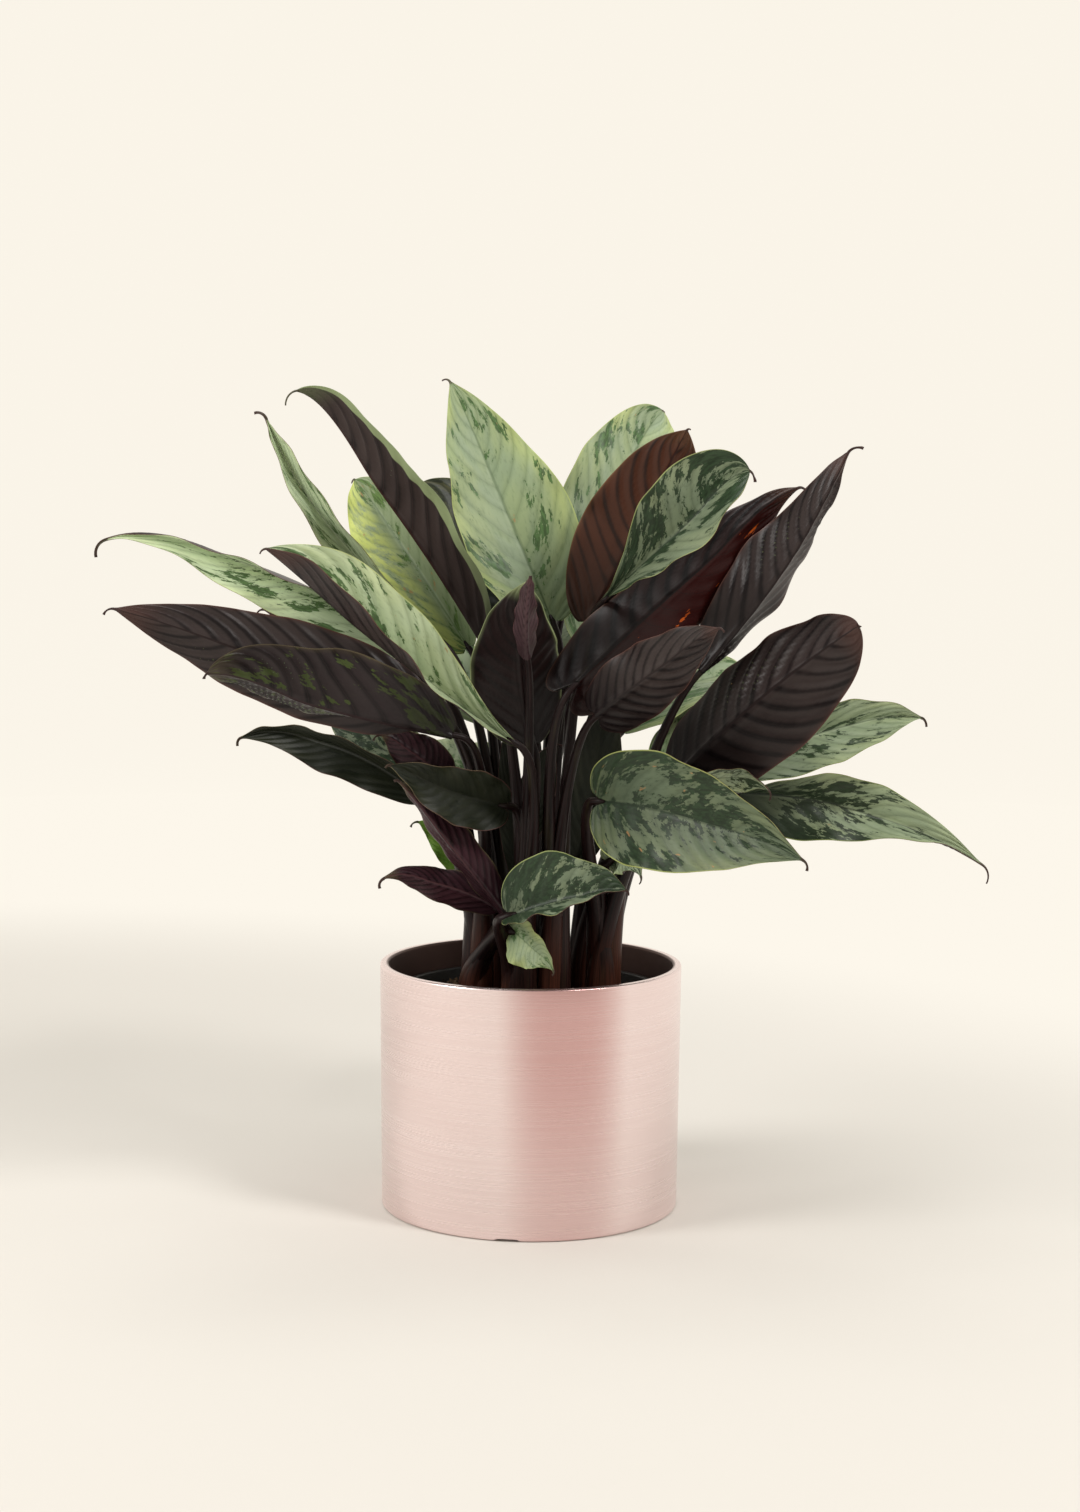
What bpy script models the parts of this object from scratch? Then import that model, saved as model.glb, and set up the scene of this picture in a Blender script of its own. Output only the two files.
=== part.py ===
# Potted apoballis: a clump of shoots with long two-coloured leaves, in a brushed rose planter.
# Run it with blender --background --python part.py, or from the text editor. Lengths in the tables
# are in millimetres, and MM turns them into Blender's metres. +Z is up, the planter stands on z = 0
# with its axis on the origin, and the side seen from -Y is the front.

from collections import namedtuple
from math import cos, pi, radians, sin

import bmesh
import bpy
import numpy as np
from mathutils import Vector

MM = 0.001
CLEARANCE = 0.3

# Planter: a turned shell with a slight taper, a flat underside and small notches in its foot.
PLANTER_HEIGHT = 170.0
PLANTER_RIM_RADIUS = 105.0
PLANTER_FOOT_RADIUS = 103.5
PLANTER_WALL = 6.0
PLANTER_FLOOR = 6.0
EDGE_ROUND = 1.6
TURNED_SIDES = 64
NOTCH_COUNT = 3
NOTCH_WIDTH = 15.0
NOTCH_HEIGHT = 1.6
NOTCH_REACH = 12.0
NOTCH_FIRST_ANGLE = -98.0

# Grower pot: the thin plastic pot that holds the soil and stands inside the planter.
GROWER_FOOT_Z = PLANTER_FLOOR + CLEARANCE
GROWER_RIM_Z = 152.0
GROWER_RIM_RADIUS = 93.0
GROWER_FOOT_RADIUS = 74.0
GROWER_WALL = 1.4
GROWER_LIP_HEIGHT = 9.0
GROWER_LIP_WIDTH = 3.0
GROWER_SIDES = 40

# Soil: fills the grower pot to just under its lip and is slightly heaped round the shoots.
SOIL_EDGE_Z = 144.0
SOIL_HEAP = 4.0
SOIL_RINGS = (0.0, 0.4, 0.75, 1.0)
SOIL_HOLE_DEPTH = 30.0
SOIL_HOLE_SIDES = 16

# Shoots: each is a bundle of leaf stalks that sheathe one another at the foot.
SHOOT_FOOT_Z = 120.0
SHOOT_EXIT_Z = 152.0
SHEATH_TOP_Z = 196.0
SHEATH_SPREAD = 3.6
STALK_RADIUS = 5.4
STALK_TIP_RADIUS = 2.4
CORE_RADIUS = 7.4
STALK_SIDES_LEVEL = 1
STALK_STEPS = 5
STALK_UPRIGHT = 0.45
STALK_LEAD = 0.14
NECK_LENGTH = 5.0
HEEL_GAP = 0.6
WELD_DISTANCE = 0.01

# Blades: a grid bent to shape, thickest along the midrib.
BLADE_STEP_LENGTH = 21.0
BLADE_FEWEST_STEPS = 5
BLADE_MOST_STEPS = 10
BLADE_STRIPS = 4
MIDRIB_THICKNESS = 2.6
EDGE_THICKNESS = 0.75
HEEL_HALF_WIDTH = 2.0
TIP_HALF_WIDTH = 0.8
MIDRIB_THINNING = 0.55
HOOK_START = 0.6
LOBE_START = 0.3
LOBE_SCALE = 1.8
WAVE_SHIFT = 1.9
END_CROWDING = 0.06

FRONT = np.array([0.0, -1.0, 0.0])
SKY = np.array([0.0, 0.0, 1.0])

Shoot = namedtuple("Shoot", "x y")

SHOOTS = {
    "shoot_far_left": Shoot(-38, -10),
    "shoot_left": Shoot(-24, 22),
    "shoot_front": Shoot(-8, -36),
    "shoot_middle": Shoot(15, -30),
    "shoot_centre": Shoot(4, 2),
    "shoot_right": Shoot(50, -14),
    "shoot_right_back": Shoot(38, 26),
    "shoot_back": Shoot(6, 48),
}

# One row for each leaf. heel, crest and tip are points on the midrib: where the blade starts on its
# stalk, half way, and at the point. width is the widest half. facing is the side that the upper
# face looks to at roll 0. roll and twist turn the blade about its midrib, in degrees at half length
# and in all from heel to tip. fold lifts both halves, and curl bends them on towards the edge. wave
# is how far the margin ripples and waves how often. base is low for a round heel and taper low for
# a blunt tip, and both are high for a drawn-out end. lobe is how far the margins trail behind the
# heel, and hook is how strongly the tip bends down.
Leaf = namedtuple(
    "Leaf",
    "shoot heel crest tip width facing roll twist fold curl wave waves base taper lobe hook",
    defaults=(FRONT, 0, 0, 15, 0, 1.5, 2.5, 0.62, 1.0, 8, 4),
)

LEAVES = {
    # Tall leaves in the middle and at the top.
    "leaf_crown": Leaf(
        "shoot_centre", (13, 10, 407), (-21, 28, 487), (-60, 50, 573), 43,
        roll=16, fold=18, wave=2.5, waves=2
    ),
    "leaf_arch_left": Leaf(
        "shoot_front", (-35, -20, 396), (-95, -48, 487), (-155, -80, 560), 37,
        roll=114, fold=24, taper=0.8, hook=22
    ),
    "leaf_twisted_left": Leaf(
        "shoot_left", (-67, 12, 395), (-146, 14, 477), (-186, 20, 545), 22, twist=30, fold=64, wave=3
    ),
    "leaf_lime_left": Leaf(
        "shoot_left", (-46, 28, 388), (-95, 68, 458), (-132, 112, 505), 37, roll=-6, fold=36, lobe=12
    ),
    "leaf_shade_back": Leaf("shoot_back", (-15, 44, 403), (-53, 90, 466), (-93, 130, 496), 38, fold=16),
    "leaf_top_right": Leaf(
        "shoot_back", (25, 50, 427), (61, 93, 506), (94, 140, 558), 36, roll=-5, fold=22, taper=0.8
    ),
    "leaf_copper": Leaf(
        "shoot_centre", (36, -6, 407), (74, -18, 480), (102, -34, 538), 37, roll=188, fold=12, taper=0.9
    ),
    "leaf_camo_right": Leaf(
        "shoot_middle", (48, -36, 424), (94, -84, 470), (140, -90, 510), 36,
        roll=-25, fold=42, base=1.8, taper=1.0, hook=14
    ),
    "leaf_red_channel": Leaf(
        "shoot_middle", (29, -76, 370), (104, -50, 439), (178, -28, 500), 35,
        roll=170, fold=36, base=0.5, lobe=36, hook=14
    ),
    "leaf_hook_right": Leaf(
        "shoot_right", (113, -46, 377), (168, -58, 449), (207, -60, 523), 31,
        roll=202, fold=46, wave=4, waves=2
    ),
    # Leaves on the right.
    "leaf_dark_front_right": Leaf(
        "shoot_middle", (43, -84, 350), (79, -124, 382), (116, -164, 411), 26,
        roll=172, fold=26, base=0.45, lobe=20
    ),
    "leaf_dark_right": Leaf(
        "shoot_right", (104, -30, 310), (158, -70, 366), (210, -112, 411), 42,
        roll=154, fold=26, base=0.45, taper=0.62, lobe=34, hook=0
    ),
    "leaf_front_right": Leaf(
        "shoot_right", (45, -76, 292), (100, -130, 288), (169, -180, 268), 41,
        fold=22, twist=10, lobe=14
    ),
    "leaf_camo_far_right": Leaf(
        "shoot_right_back", (134, 8, 303), (213, 50, 330), (284, 96, 335), 29, fold=42, taper=1.1
    ),
    "leaf_drooping_right": Leaf(
        "shoot_right_back", (139, 0, 289), (223, 6, 278), (316, 14, 239), 30,
        roll=-6, twist=-110, fold=37, taper=1.2
    ),
    "leaf_small_right": Leaf(
        "shoot_right", (97, -40, 290), (129, -48, 305), (158, -60, 298), 17, roll=45
    ),
    # Leaves on the left.
    "leaf_silver_left": Leaf(
        "shoot_left", (-84, 0, 387), (-190, 4, 443), (-296, 8, 461), 30,
        roll=-26, fold=60, taper=1.3, hook=14
    ),
    "leaf_dark_left": Leaf(
        "shoot_left", (-70, -20, 345), (-168, -26, 377), (-283, -34, 415), 34,
        roll=180, fold=18, taper=0.9
    ),
    "leaf_patched_left": Leaf(
        "shoot_far_left", (-54, -56, 333), (-136, -84, 353), (-210, -112, 377), 40,
        roll=142, twist=30, fold=40, taper=0.8, hook=12
    ),
    "leaf_folded_left": Leaf(
        "shoot_front", (-13, -76, 331), (-99, -112, 397), (-167, -150, 458), 35,
        roll=48, twist=63, fold=56, base=1.3, taper=0.9
    ),
    "leaf_tucked_left": Leaf("shoot_left", (-74, 6, 367), (-126, 14, 393), (-173, 20, 412), 13, roll=180),
    "leaf_olive_left": Leaf(
        "shoot_far_left", (-76, 16, 282), (-143, 50, 316), (-213, 88, 317), 23,
        roll=-16, fold=50, hook=8
    ),
    "leaf_behind_left": Leaf("shoot_left", (-69, 36, 285), (-110, 58, 315), (-151, 80, 339), 26),
    "leaf_plum_left": Leaf(
        "shoot_far_left", (-61, 20, 296), (-82, 16, 313), (-106, 10, 327), 17, roll=180
    ),
    # Low leaves round the foot.
    "leaf_shade_low": Leaf(
        "shoot_front", (-19, -40, 284), (-55, -66, 296), (-93, -90, 316), 23, roll=8, fold=32
    ),
    "leaf_hanging_plum": Leaf(
        "shoot_far_left", (-19, -44, 212), (-52, -62, 257), (-88, -76, 304), 20, roll=170, fold=55
    ),
    "leaf_hook_low": Leaf(
        "shoot_far_left", (-24, -32, 213), (-60, -38, 229), (-100, -43, 234), 16,
        roll=190, fold=40, hook=8
    ),
    "leaf_lime_low": Leaf("shoot_far_left", (-44, 17, 226), (-60, 19, 249), (-80, 20, 265), 11),
    "leaf_low_front": Leaf(
        "shoot_front", (-14, -72, 214), (24, -88, 228), (62, -106, 237), 34, roll=-48, fold=40
    ),
    "leaf_low_tip": Leaf(
        "shoot_front", (-13, -60, 202), (0, -78, 194), (15, -87, 180), 17, roll=20, fold=20, lobe=4
    ),
    "leaf_burgundy": Leaf(
        "shoot_front", (0, -44, 327), (-9, -58, 383), (-4, -70, 437), 36, roll=190, fold=28
    ),
    "leaf_spear": Leaf(
        "shoot_front", (-4, -70, 386), (-5, -83, 412), (-2, -94, 440), 15, roll=180, fold=60
    ),
    "leaf_inner_green": Leaf("shoot_centre", (-2, -18, 263), (4, -16, 296), (14, -14, 322), 14),
    "leaf_inner_left": Leaf("shoot_centre", (-8, 6, 226), (-15, 8, 284), (-17, 10, 340), 10),
    "leaf_inner_right": Leaf("shoot_centre", (30, 8, 238), (45, 12, 304), (50, 16, 370), 19),
    "leaf_small_low_right": Leaf("shoot_right", (54, -30, 246), (64, -38, 248), (74, -48, 238), 13),
    # Leaves at the back.
    "leaf_back_top": Leaf(
        "shoot_back", (-4, 78, 410), (-12, 130, 480), (-25, 190, 512), 38, facing=SKY, fold=20, hook=8
    ),
    "leaf_back_middle": Leaf(
        "shoot_back", (14, 90, 350), (20, 160, 405), (26, 235, 415), 40,
        facing=SKY, roll=8, fold=22, hook=10
    ),
    "leaf_back_left": Leaf(
        "shoot_left", (-34, 84, 330), (-92, 145, 370), (-150, 205, 378), 38,
        facing=SKY, roll=-20, fold=20
    ),
    "leaf_back_right": Leaf(
        "shoot_right_back", (64, 74, 325), (122, 135, 358), (180, 196, 352), 40,
        facing=SKY, roll=20, fold=20
    ),
    "leaf_back_high_right": Leaf(
        "shoot_back", (38, 84, 385), (74, 150, 440), (112, 215, 452), 38,
        facing=SKY, roll=15, fold=24, hook=8
    ),
    "leaf_back_far_left": Leaf(
        "shoot_left", (-70, 56, 342), (-134, 84, 386), (-198, 106, 410), 30, roll=180, fold=20
    ),
    "leaf_back_far_right": Leaf(
        "shoot_right_back", (92, 60, 296), (150, 112, 328), (206, 160, 333), 34,
        facing=SKY, roll=10, fold=20
    ),
    "leaf_back_low_left": Leaf(
        "shoot_back", (-26, 76, 268), (-66, 130, 296), (-104, 190, 292), 32,
        facing=SKY, roll=-15, fold=18
    ),
    "leaf_back_low": Leaf(
        "shoot_back", (14, 84, 236), (20, 134, 262), (26, 190, 252), 30, facing=SKY, fold=16
    ),
    "leaf_back_low_right": Leaf(
        "shoot_right_back", (70, 56, 262), (112, 92, 262), (156, 124, 230), 30,
        facing=SKY, roll=20, fold=18
    ),
}


def clear_scene():
    for obj in list(bpy.data.objects):
        bpy.data.objects.remove(obj)


def new_collection(name):
    collection = bpy.data.collections.new(name)
    bpy.context.scene.collection.children.link(collection)
    return collection


def material(name, colour, roughness, metallic=0.0):
    made = bpy.data.materials.new(name)
    made.use_nodes = True
    shader = made.node_tree.nodes["Principled BSDF"]
    shader.inputs["Base Color"].default_value = (*colour, 1.0)
    shader.inputs["Roughness"].default_value = roughness
    shader.inputs["Metallic"].default_value = metallic
    return made


def add_object(name, data, collection, surface=None):
    obj = bpy.data.objects.new(name, data)
    collection.objects.link(obj)
    if surface:
        data.materials.append(surface)
    return obj


def turned(name, profile, sides, collection, surface=None):
    """A profile of (radius, height) points in the XZ plane, turned about Z by a Screw modifier."""
    mesh = bpy.data.meshes.new(name)
    points = [(radius * MM, 0.0, height * MM) for radius, height in profile]
    mesh.from_pydata(points, [(i, i + 1) for i in range(len(points) - 1)], [])
    obj = add_object(name, mesh, collection, surface)
    screw = obj.modifiers.new("Turn", "SCREW")
    screw.steps = screw.render_steps = sides
    screw.use_merge_vertices = True
    screw.merge_threshold = 0.0001
    screw.use_smooth_shade = True
    return obj


def cut(obj, cutter):
    boolean = obj.modifiers.new("Cut " + cutter.name, "BOOLEAN")
    boolean.operation = "DIFFERENCE"
    boolean.object = cutter


def hide_cutter(obj):
    obj.hide_render = True
    obj.display_type = "WIRE"


def wall_radius(z, wall_in=0.0):
    """The planter's radius at a height, less a distance into the wall."""
    share = z / PLANTER_HEIGHT
    return PLANTER_FOOT_RADIUS + (PLANTER_RIM_RADIUS - PLANTER_FOOT_RADIUS) * share - wall_in


def arc(centre_r, centre_z, radius, start, end, steps=2):
    """Points on a quarter-round, from start to end degrees, for a profile's rounded edge."""
    angles = [radians(start + (end - start) * i / steps) for i in range(steps + 1)]
    return [(centre_r + radius * cos(a), centre_z + radius * sin(a)) for a in angles]


def make_planter(collection, cutters, surface):
    floor_z = PLANTER_FLOOR
    lip_z = PLANTER_HEIGHT - EDGE_ROUND
    profile = [(0.0, floor_z), (wall_radius(floor_z, PLANTER_WALL), floor_z)]
    profile += arc(wall_radius(lip_z, PLANTER_WALL - EDGE_ROUND), lip_z, EDGE_ROUND, 180, 90)
    profile += arc(wall_radius(lip_z, EDGE_ROUND), lip_z, EDGE_ROUND, 90, 0)
    profile += arc(wall_radius(EDGE_ROUND, EDGE_ROUND), EDGE_ROUND, EDGE_ROUND, 0, -90)
    profile.append((0.0, 0.0))
    planter = turned("planter", profile, TURNED_SIDES, collection, surface)
    for i in range(NOTCH_COUNT):
        angle = radians(NOTCH_FIRST_ANGLE + i * 360 / NOTCH_COUNT)
        bpy.ops.mesh.primitive_cube_add(size=1)
        notch = bpy.context.object
        notch.name = f"notch_cutter_{i + 1}"
        notch.scale = (2 * NOTCH_REACH * MM, NOTCH_WIDTH * MM, 2 * NOTCH_HEIGHT * MM)
        notch.location = Vector((cos(angle), sin(angle), 0)) * PLANTER_FOOT_RADIUS * MM
        notch.rotation_euler = (0, 0, angle)
        for old in notch.users_collection:
            old.objects.unlink(notch)
        cutters.objects.link(notch)
        hide_cutter(notch)
        cut(planter, notch)
    return planter


def grower_outside(z):
    """The grower pot's outer radius at a height, under its lip."""
    top = GROWER_RIM_RADIUS - GROWER_LIP_WIDTH
    share = (z - GROWER_FOOT_Z) / (GROWER_RIM_Z - GROWER_FOOT_Z)
    return GROWER_FOOT_RADIUS + (top - GROWER_FOOT_RADIUS) * share


def make_grower_pot(collection, surface):
    floor_z = GROWER_FOOT_Z + GROWER_WALL
    lip_z = GROWER_RIM_Z - GROWER_LIP_HEIGHT
    profile = [
        (0.0, floor_z),
        (grower_outside(floor_z) - GROWER_WALL, floor_z),
        (grower_outside(GROWER_RIM_Z) - GROWER_WALL, GROWER_RIM_Z),
        (GROWER_RIM_RADIUS, GROWER_RIM_Z),
        (GROWER_RIM_RADIUS, lip_z),
        (grower_outside(lip_z), lip_z),
        (GROWER_FOOT_RADIUS, GROWER_FOOT_Z),
        (0.0, GROWER_FOOT_Z),
    ]
    return turned("grower_pot", profile, GROWER_SIDES, collection, surface)


def make_soil(collection, cutters, surface):
    foot_z = GROWER_FOOT_Z + GROWER_WALL + CLEARANCE
    top, foot = (grower_outside(z) - GROWER_WALL - 2 * CLEARANCE for z in (SOIL_EDGE_Z, foot_z))
    profile = [(top * share, SOIL_EDGE_Z + SOIL_HEAP * cos(share * pi / 2)) for share in SOIL_RINGS]
    profile += [(foot, foot_z), (0.0, foot_z)]
    soil = turned("soil", profile, GROWER_SIDES, collection, surface)
    for name, shoot in SHOOTS.items():
        bpy.ops.mesh.primitive_cylinder_add(
            vertices=SOIL_HOLE_SIDES,
            radius=(SHEATH_SPREAD + STALK_RADIUS + 2 * CLEARANCE) * MM,
            depth=2 * SOIL_HOLE_DEPTH * MM,
            location=(shoot.x * MM, shoot.y * MM, (SOIL_EDGE_Z + SOIL_HEAP) * MM),
        )
        hole = bpy.context.object
        hole.name = name + "_hole"
        for old in hole.users_collection:
            old.objects.unlink(hole)
        cutters.objects.link(hole)
        hide_cutter(hole)
        cut(soil, hole)
    return soil


def unit(vectors):
    return vectors / np.linalg.norm(vectors, axis=-1, keepdims=True)


def midrib(leaf, along):
    """Points and directions on the curve through heel, crest and tip, at shares along it."""
    heel, crest, tip = (np.array(p, float) for p in (leaf.heel, leaf.crest, leaf.tip))
    pull = 2 * crest - (heel + tip) / 2
    t = along[:, None]
    points = heel * (1 - t) ** 2 + 2 * pull * t * (1 - t) + tip * t**2
    heading = 2 * (pull - heel) * (1 - t) + 2 * (tip - pull) * t
    last = np.clip((t - HOOK_START) / (1 - HOOK_START), 0, 1)
    points = points + SKY * leaf.hook * (last - last**3)
    heading = heading + SKY * leaf.hook * np.where(last > 0, 1 - 3 * last**2, 0) / (1 - HOOK_START)
    return points, unit(heading)


def outline(leaf, along):
    """Half the blade's width at shares along it, never less than the thin heel and tip."""
    half = along**leaf.base * (1 - along) ** leaf.taper
    peak = leaf.base / (leaf.base + leaf.taper)
    half *= leaf.width / (peak**leaf.base * (1 - peak) ** leaf.taper)
    return np.hypot(half, HEEL_HALF_WIDTH + (TIP_HALF_WIDTH - HEEL_HALF_WIDTH) * along)


def blade_points(leaf, steps, strips):
    """The blade's upper face as a (steps + 1, strips + 1) grid, in millimetres.

    Each cross-section stands square to the midrib. From the midrib outwards it rises at the fold
    angle, which grows by the curl up to the edge, so it is an arc; the whole section is turned by
    roll and twist. Near the heel the margins trail back by the lobe."""
    t = np.linspace(0, 1, steps + 1)
    along = t - END_CROWDING * np.sin(2 * pi * t)
    across = np.linspace(-1, 1, strips + 1)
    spine, forward = midrib(leaf, along)
    normal = unit(leaf.facing - forward * (forward @ leaf.facing)[:, None])
    side = np.cross(forward, normal)
    turn = np.radians(leaf.roll + leaf.twist * (along - 0.5))[:, None]
    level, upright = side, normal
    side = level * np.cos(turn) - upright * np.sin(turn)
    normal = upright * np.cos(turn) + level * np.sin(turn)

    half = outline(leaf, along)[:, None]
    along = along[:, None]
    share = np.abs(across)[None, :]
    fold, curl = radians(leaf.fold), radians(leaf.curl) + 1e-6
    out = half / curl * (np.sin(fold + curl * share) - sin(fold)) * np.sign(across)
    rise = half / curl * (cos(fold) - np.cos(fold + curl * share))
    phase = 2 * pi * leaf.waves * along + np.where(across < 0, 0.0, WAVE_SHIFT)[None, :]
    rise = rise + leaf.wave * np.sin(phase) * share**2 * np.sin(pi * along) ** 0.5
    back = leaf.lobe * share * LOBE_SCALE * along**LOBE_START * (1 - along) ** 3
    parts = ((side, out), (normal, rise), (-forward, back))
    return spine[:, None, :] + sum(axis[:, None, :] * size[..., None] for axis, size in parts)


def make_blade(name, leaf, collection, surface):
    """A grid bent to the blade's shape, with a Solidify modifier that is thickest at the midrib."""
    spine = np.array([leaf.heel, leaf.crest, leaf.tip], float)
    length = np.linalg.norm(np.diff(spine, axis=0), axis=1).sum()
    steps = int(np.clip(round(length / BLADE_STEP_LENGTH), BLADE_FEWEST_STEPS, BLADE_MOST_STEPS))
    points = blade_points(leaf, steps, BLADE_STRIPS)
    mesh = bpy.data.meshes.new(name)
    bm = bmesh.new()
    bmesh.ops.create_grid(bm, x_segments=BLADE_STRIPS, y_segments=steps, size=1)
    bm.to_mesh(mesh)
    bm.free()
    mesh.vertices.foreach_set("co", (points * MM).astype(np.float32).ravel())
    mesh.update()
    blade = add_object(name, mesh, collection, surface)

    weights = blade.vertex_groups.new(name="thickness")
    edge_share = EDGE_THICKNESS / MIDRIB_THICKNESS
    middle = BLADE_STRIPS // 2
    for index in range(len(mesh.vertices)):
        row, column = divmod(index, BLADE_STRIPS + 1)
        taper = 1 - MIDRIB_THINNING * row / steps
        weights.add([index], max(edge_share, taper) if column == middle else edge_share, "REPLACE")
    split = blade.modifiers.new("Split", "TRIANGULATE")
    split.quad_method = "FIXED"
    thick = blade.modifiers.new("Thickness", "SOLIDIFY")
    thick.thickness = MIDRIB_THICKNESS * MM
    thick.offset = -1
    thick.vertex_group = "thickness"
    mesh.shade_smooth()
    return blade


def stalk_path(shoot, leaf, place, count):
    """A leaf stalk: straight up out of the soil, then one smooth bend to the blade's heel."""
    angle = 2 * pi * place / count
    aside = SHEATH_SPREAD * cos(angle), SHEATH_SPREAD * sin(angle)
    foot, start = (
        np.array([shoot.x + aside[0], shoot.y + aside[1], z]) for z in (SHOOT_FOOT_Z, SHOOT_EXIT_Z)
    )
    _, forward = midrib(leaf, np.array([0.0]))
    end = np.array(leaf.heel) - forward[0] * HEEL_GAP
    neck = end - forward[0] * NECK_LENGTH
    reach = np.linalg.norm(neck - start)
    near = start + SKY * reach * STALK_UPRIGHT
    far = neck - forward[0] * reach * STALK_LEAD
    t = np.linspace(0, 1, STALK_STEPS + 1)[:, None]
    bend = start * (1 - t) ** 3 + 3 * near * t * (1 - t) ** 2 + 3 * far * t**2 * (1 - t) + neck * t**3
    points = np.vstack([foot, bend, end])
    thin = np.clip((np.arange(len(points)) - 1) / STALK_STEPS, 0, 1)
    radii = STALK_RADIUS + (STALK_TIP_RADIUS - STALK_RADIUS) * thin
    return points, radii


def tube_mesh(name, points, radii):
    """A mesh tube along the points, made as a curve with a bevel whose caps are then welded."""
    curve = bpy.data.curves.new(name, "CURVE")
    curve.dimensions = "3D"
    curve.bevel_depth = MM
    curve.bevel_resolution = STALK_SIDES_LEVEL
    curve.use_fill_caps = True
    spline = curve.splines.new("POLY")
    spline.points.add(len(points) - 1)
    for point, place, radius in zip(spline.points, points, radii):
        point.co = (*(place * MM), 1.0)
        point.radius = radius
    guide = bpy.data.objects.new(name + "_guide", curve)
    bpy.context.scene.collection.objects.link(guide)
    graph = bpy.context.evaluated_depsgraph_get()
    mesh = bpy.data.meshes.new_from_object(guide.evaluated_get(graph))
    bpy.data.objects.remove(guide)
    bm = bmesh.new()
    bm.from_mesh(mesh)
    bmesh.ops.remove_doubles(bm, verts=bm.verts, dist=WELD_DISTANCE * MM)
    bmesh.ops.recalc_face_normals(bm, faces=bm.faces)
    bm.to_mesh(mesh)
    bm.free()
    mesh.name = name
    return mesh


def make_shoot(name, shoot, leaves, collection, surface):
    """A shoot: its leaf stalks and the core they sheathe, joined by one Boolean union."""
    heights = (SHOOT_FOOT_Z, SHOOT_EXIT_Z, SHEATH_TOP_Z)
    core = np.array([[shoot.x, shoot.y, z] for z in heights], float)
    tube = tube_mesh(name, core, (CORE_RADIUS, CORE_RADIUS, STALK_RADIUS))
    body = add_object(name, tube, collection, surface)
    stalks = new_collection(name + "_stalks")
    for place, leaf in enumerate(leaves):
        stalk = f"{name}_stalk_{place + 1}"
        add_object(stalk, tube_mesh(stalk, *stalk_path(shoot, leaf, place, len(leaves))), stalks)
    union = body.modifiers.new("Join", "BOOLEAN")
    union.operation = "UNION"
    union.operand_type = "COLLECTION"
    union.collection = stalks
    union.solver = "EXACT"
    bpy.context.view_layer.update()
    graph = bpy.context.evaluated_depsgraph_get()
    joined = bpy.data.meshes.new_from_object(body.evaluated_get(graph))
    body.modifiers.clear()
    body.data = joined
    for obj in list(stalks.objects):
        bpy.data.objects.remove(obj)
    bpy.data.collections.remove(stalks)
    joined.shade_smooth()
    return body


def main():
    clear_scene()
    plant = new_collection("Potted apoballis")
    cutters = new_collection("Cutters")
    rose = material("Brushed rose metal", (0.78, 0.56, 0.51), 0.32, 0.85)
    plastic = material("Black plastic", (0.012, 0.014, 0.014), 0.45)
    earth = material("Potting soil", (0.03, 0.018, 0.01), 0.95)
    stalk = material("Plum stalk", (0.05, 0.018, 0.022), 0.4)
    blade = material("Silver green blade", (0.24, 0.34, 0.24), 0.45)

    make_planter(plant, cutters, rose)
    make_grower_pot(plant, plastic)
    make_soil(plant, cutters, earth)
    for name, leaf in LEAVES.items():
        make_blade(name, leaf, plant, blade)
    for name, shoot in SHOOTS.items():
        own = [leaf for leaf in LEAVES.values() if leaf.shoot == name]
        make_shoot(name, shoot, own, plant, stalk)


main()
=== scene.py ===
"""Looks of the potted apoballis: fine leaves, stalks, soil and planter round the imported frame."""

from collections import namedtuple
from math import cos, pi, radians, sin

import bpy
import numpy as np
from mathutils import Euler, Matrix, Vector


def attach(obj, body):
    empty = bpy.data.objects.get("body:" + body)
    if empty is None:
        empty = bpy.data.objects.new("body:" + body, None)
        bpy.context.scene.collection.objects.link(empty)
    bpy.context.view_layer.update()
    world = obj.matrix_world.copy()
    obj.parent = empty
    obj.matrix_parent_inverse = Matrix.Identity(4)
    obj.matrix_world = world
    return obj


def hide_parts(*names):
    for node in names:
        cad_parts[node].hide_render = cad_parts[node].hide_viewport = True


bl_info = {
    "name": "Potted apoballis",
    "version": (1, 0, 0),
    "blender": (4, 5, 0),
    "location": "3D View > Sidebar > Plant",
    "description": "Builds the visual model of a potted apoballis on a packed frame",
    "category": "Add Mesh",
}

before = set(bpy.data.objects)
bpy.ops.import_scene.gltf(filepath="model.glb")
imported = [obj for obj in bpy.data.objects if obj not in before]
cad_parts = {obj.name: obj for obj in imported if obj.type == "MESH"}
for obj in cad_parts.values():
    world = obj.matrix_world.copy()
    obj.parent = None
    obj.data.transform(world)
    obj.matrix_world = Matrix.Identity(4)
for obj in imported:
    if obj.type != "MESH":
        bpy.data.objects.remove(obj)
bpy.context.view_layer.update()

MM = 0.001
CLEARANCE = 0.3

# The first ring of a turned piece, which closes it on its axis.
AXIS_RADIUS = 0.01

# Planter, grower pot and soil, in millimetres, as in the CAD part. Angles are in degrees: the first
# notch's, and how far right of its front stands the darker band that is painted on the planter as a
# reflection.
PLANTER_HEIGHT = 170.0
PLANTER_RIM_RADIUS = 105.0
PLANTER_FOOT_RADIUS = 103.5
PLANTER_WALL = 6.0
PLANTER_FLOOR = 6.0
PLANTER_CORNER = 2.0
EDGE_ROUND = 1.6
NOTCH_COUNT = 3
NOTCH_WIDTH = 15.0
NOTCH_HEIGHT = 1.6
NOTCH_DEPTH = 12.0
NOTCH_FIRST_ANGLE = -98.0
REFLECTION_BAND_ANGLE = 13.5
GROWER_FOOT_Z = PLANTER_FLOOR + CLEARANCE
GROWER_RIM_Z = 152.0
GROWER_RIM_RADIUS = 93.0
GROWER_FOOT_RADIUS = 74.0
GROWER_WALL = 1.4
GROWER_LIP_HEIGHT = 9.0
GROWER_LIP_WIDTH = 3.0
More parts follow.
